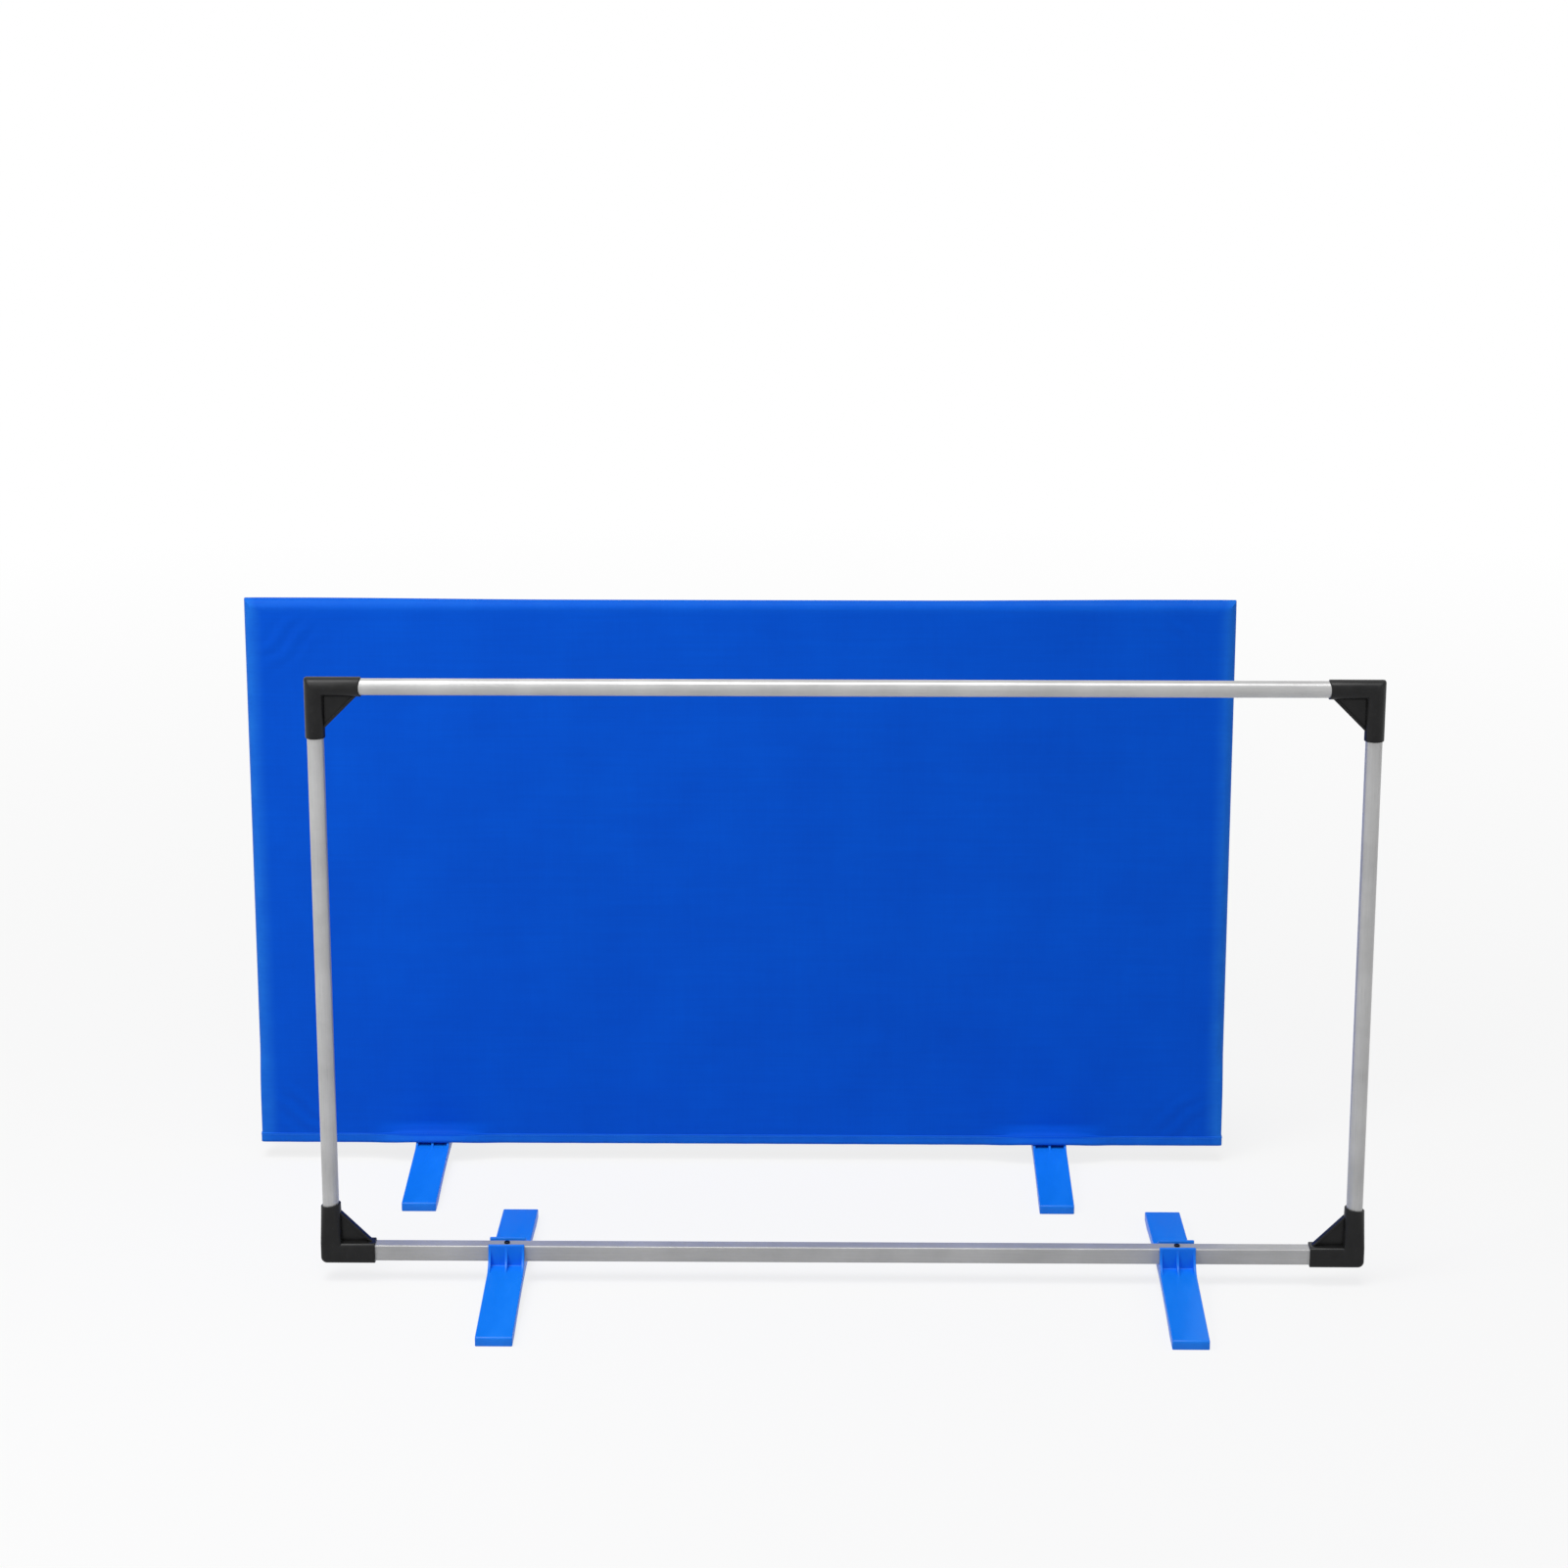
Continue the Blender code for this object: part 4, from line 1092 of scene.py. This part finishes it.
def fold_path(columns, rows):
    """Columns and rows along the fold: up the left side, over the top and down the right."""
    path = [(0, row) for row in range(rows)]
    path += [(column, rows - 1) for column in range(1, columns)]
    return path + [(columns - 1, row) for row in range(rows - 1)][::-1]


def cover_grid():
    """Points of both sheets and of the fold round them: sheets[facing] is columns by rows."""
    x = cover_columns()[:, None]
    level = cover_levels()[None, :]
    rise = (hem_height(x) - HEM_HEIGHT) * (1 - smooth_step(level, HEM_BAND, LEAN_HEIGHT))
    z = HEM_HEIGHT + level + rise
    x = np.broadcast_to(x, z.shape)
    stretched = half_depth(x, z)
    sheets = {}
    for facing in (-1, 1):
        depth = stretched + relief(x, z, facing)
        sheets[facing] = np.stack([x, facing * depth, z], axis=-1)

    turns = np.arange(FOLD_STEPS + 1) / FOLD_STEPS * np.pi
    seam = np.exp(-((turns - np.pi / 2) / SEAM_GROOVE_TURN) ** 2)
    last, top = z.shape[0] - 1, z.shape[1] - 1
    fold = []
    walked = 0.0
    before = sheets[-1][0, 0]
    for column, row in fold_path(*z.shape):
        sideways = (column == last) - (column == 0)
        upwards = row == top
        front = sheets[-1][column, row]
        walked += float(np.linalg.norm(front - before))
        before = front
        half = abs(front[1])
        power = ROUND_FOLD_POWER if upwards else float(fold_power(front[2]))
        out = half * np.abs(np.sin(turns)) ** (2 / power)
        deep = -half * np.sign(np.cos(turns)) * np.abs(np.cos(turns)) ** (2 / power)
        if sideways:
            even, swing = SEAM_PULL
            pull = even + swing * math.sin(walked / PUCKER_LENGTH * math.tau)
            out = out - SEAM_GROOVE_DEPTH * seam * pull
        strip = np.stack([front[0] + sideways * out, deep, front[2] + upwards * out], axis=-1)
        fold.append(strip)
    return sheets, fold


def cover_mesh(sheets, fold):
    """One open sleeve of cloth over the sheets and the fold."""
    columns, rows = sheets[-1].shape[:2]
    points = [*sheets[-1].reshape(-1, 3), *sheets[1].reshape(-1, 3)]
    numbers = np.arange(len(points)).reshape(2, columns, rows).tolist()
    faces = []
    for sheet in numbers:
        for near, far in zip(sheet, sheet[1:]):
            for row in range(rows - 1):
                faces.append((near[row], far[row], far[row + 1], near[row + 1]))
    strips = []
    for (column, row), strip in zip(fold_path(columns, rows), fold):
        first = len(points)
        points += list(strip[1:-1])
        front, back = [sheet[column][row] for sheet in numbers]
        strips.append([front, *range(first, len(points)), back])
    for near, far in zip(strips, strips[1:]):
        for step in range(FOLD_STEPS):
            faces.append((near[step], near[step + 1], far[step + 1], far[step]))
    return build_mesh("cover", points, faces)


def hem_loop(sheets, fold, row):
    """The closed line round the sleeve at one row."""
    left, right = fold[row][1:-1], fold[-1 - row][1:-1]
    return np.concatenate([sheets[-1][:, row], right, sheets[1][::-1, row], left[::-1]])


def stitch_mesh(line):
    """Small stitches that lie along a closed line on the cloth."""
    closed = np.concatenate([line, line[:1]])
    steps = np.linalg.norm(np.diff(closed, axis=0), axis=1)
    along = np.concatenate([[0.0], np.cumsum(steps)])
    count = int(along[-1] / STITCH_PITCH)
    points = []
    faces = []
    for stitch in range(count):
        middle = (stitch + 0.5) / count * along[-1]
        places = (middle - STITCH_LENGTH / 2, middle, middle + STITCH_LENGTH / 2)
        start, seat, end = np.stack(
            [np.interp(places, along, closed[:, axis]) for axis in range(3)], axis=-1
        )
        run = (end - start) / np.linalg.norm(end - start)
        outward = np.array([run[1], -run[0], 0.0])
        outward = outward / np.linalg.norm(outward)
        upward = np.cross(run, outward)
        seat = seat + outward * (CLOTH_THICKNESS + STITCH_RADIUS * STITCH_SEAT_SHARE)
        rings = []
        for share, girth in STITCH_RINGS:
            sink = outward * (STITCH_RADIUS * (1 - girth))
            centre = seat + run * (STITCH_LENGTH * share) - sink
            ring = []
            for corner in range(STITCH_SIDES):
                turn = corner / STITCH_SIDES * math.tau
                across = outward * math.cos(turn) + upward * math.sin(turn)
                ring.append(centre + across * STITCH_RADIUS * girth)
            rings.append(ring)
        first = len(points)
        more_points, more_faces = skin(rings)
        points += more_points
        faces += [tuple(first + corner for corner in face) for face in more_faces]
    return build_mesh("stitches", points, faces)


# Scene

def build_barrier_meshes():
    """Every mesh that the two barriers share, by the frame node's name without its prefix."""
    meshes = {
        "top_tube": tube_mesh("top_tube", "bare_top_tube", 0),
        "upright": tube_mesh("upright", "bare_left_upright", 2),
        "bottom_rail": rail_mesh(),
        "foot": foot_mesh(),
        "foot_screw": screw_mesh("bare_left_foot_screw"),
        "foot_washer": washer_mesh("bare_left_foot_washer"),
        "foot_nut": nut_mesh("bare_left_foot_nut"),
    }
    for word, side in SIDES:
        meshes[f"top_{word}_corner"] = top_corner_mesh(side)
        meshes[f"bottom_{word}_corner"] = bottom_corner_mesh(side)
    return meshes


def build_barriers():
    meshes = build_barrier_meshes()
    lengthways = aluminium("drawn_aluminium_across", 0, *TUBE_FINISH), "aluminium"
    upwards = aluminium("drawn_aluminium_upright", 2, *TUBE_FINISH), "aluminium"
    dull = aluminium("mill_finish_aluminium", 0, *RAIL_FINISH), "aluminium"
    black = black_plastic(), "black_plastic"
    blue = blue_plastic(), "blue_plastic"
    dark = plated_steel("blackened_steel", *DARK_STEEL), "black_steel"
    zinc = plated_steel("zinc_plated_steel", *ZINC_STEEL), "zinc_steel"
    for prefix, body in BARRIERS:
        unit = unit_place(prefix)
        pieces = [
            ("top_tube", "top_tube", lengthways, 0, TOP_TUBE_Z),
            ("bottom_rail", "bottom_rail", dull, 0, RAIL_Z),
        ]
        for word, side in SIDES:
            x = side * UPRIGHT_X
            top, bottom = f"top_{word}_corner", f"bottom_{word}_corner"
            pieces += [
                (word + "_upright", "upright", upwards, x, UPRIGHT_Z),
                (top, top, black, x, TOP_TUBE_Z),
                (bottom, bottom, black, x, RAIL_Z),
            ]
            for part, look in (
                ("foot", blue), ("foot_screw", dark), ("foot_washer", zinc), ("foot_nut", zinc)
            ):
                pieces.append((f"{word}_{part}", part, look, side * FOOT_X, 0))
        for word, mesh, (mat, slot), x, z in pieces:
            node = prefix + word
            place = unit + Vector((x, 0, z))
            add_piece(node + "_shown", meshes[mesh], mat, place, body, node)


def build_cover():
    sheets, fold = cover_grid()
    place = unit_place("dressed_")
    mesh = cover_mesh(sheets, fold)
    cover = add_piece("cover", mesh, blue_cloth(), place, COVER_BODY, COVER_NODE)
    thicken = cover.modifiers.new("thickness", "SOLIDIFY")
    thicken.thickness = CLOTH_THICKNESS
    thicken.offset = 1.0
    row = int(np.argmin(np.abs(cover_levels() - STITCH_LINE)))
    mesh = stitch_mesh(hem_loop(sheets, fold, row))
    stitches = add_piece("cover_hem_stitches", mesh, thread(), place, COVER_BODY, None)


def background_share(mat):
    """1 for rays from the camera, from gloss and through glass, 0 for all other light."""
    path = add_node(mat, "ShaderNodeLightPath", {})
    total = path.outputs["Is Camera Ray"]
    for name in ("Is Glossy Ray", "Is Transmission Ray"):
        total = maths(mat, "MAXIMUM", total, path.outputs[name])
    return total


def build_floor():
    half = FLOOR_SIZE / 2
    corners = [(-half, -half, 0), (half, -half, 0), (half, half, 0), (-half, half, 0)]
    mesh = build_mesh("floor", corners, [range(4)])
    floor = new_object("floor", mesh)
    mat = bpy.data.materials.new("white_floor")
    mat.use_nodes = True
    mat.node_tree.nodes.clear()
    paper = add_node(mat, "ShaderNodeBsdfDiffuse", {"Color": FLOOR_PAPER})
    lit = add_node(mat, "ShaderNodeEmission", {"Strength": 1.0})
    place = coordinates(mat, (1.0, 1.0, 0.0))
    away = add_node(mat, "ShaderNodeVectorMath", {0: place}, operation="LENGTH").outputs["Value"]
    fade = span(mat, away, FLOOR_NEAR_SHARE, 1.0, FLOOR_FADE_START, FLOOR_FADE_END)
    share = maths(mat, "MULTIPLY", background_share(mat), fade)
    both = {0: share, 1: paper.outputs[0], 2: lit.outputs[0]}
    surface = add_node(mat, "ShaderNodeMixShader", both).outputs[0]
    add_node(mat, "ShaderNodeOutputMaterial", {"Surface": surface})
    mesh.materials.append(mat)


def build_world():
    world = bpy.data.worlds.new("studio")
    bpy.context.scene.world = world
    world.use_nodes = True
    background = world.node_tree.nodes["Background"]
    strength = span(world, background_share(world), SKY_STRENGTH, 1.0, 0.0, 1.0)
    feed(world, (1.0, 1.0, 1.0), background.inputs["Color"])
    feed(world, strength, background.inputs["Strength"])


def add_light(name, kind, place, target, **values):
    light = bpy.data.lights.new(name, kind)
    for key, value in values.items():
        setattr(light, key, value)
    lamp = new_object(name, light, place)
    lamp.rotation_euler = (Vector(place) - Vector(target)).to_track_quat("Z", "Y").to_euler()
    lamp.visible_camera = False


def build_lights():
    add_light("key", "AREA", KEY_PLACE, KEY_TARGET, energy=KEY_POWER, size=KEY_SIZE)
    for name, place, target, power in STRIPS:
        add_light(
            name, "AREA", place, target,
            energy=power, shape="RECTANGLE", size=STRIP_WIDTH, size_y=STRIP_HEIGHT,
        )
    add_light("sun", "SUN", SUN_DIRECTION, (0, 0, 0), energy=SUN_STRENGTH, angle=SUN_ANGLE)


def build_camera():
    data = bpy.data.cameras.new("camera")
    data.lens = CAMERA_LENS
    data.sensor_width = CAMERA_SENSOR
    data.clip_end = FLOOR_SIZE
    camera = new_object("camera", data, CAMERA_PLACE)
    camera.rotation_euler = (math.pi / 2 - CAMERA_PITCH, 0, CAMERA_TURN)
    bpy.context.scene.camera = camera


build_barriers()
build_cover()
build_floor()
build_world()
build_lights()
build_camera()
bpy.context.scene.view_settings.view_transform = "Standard"
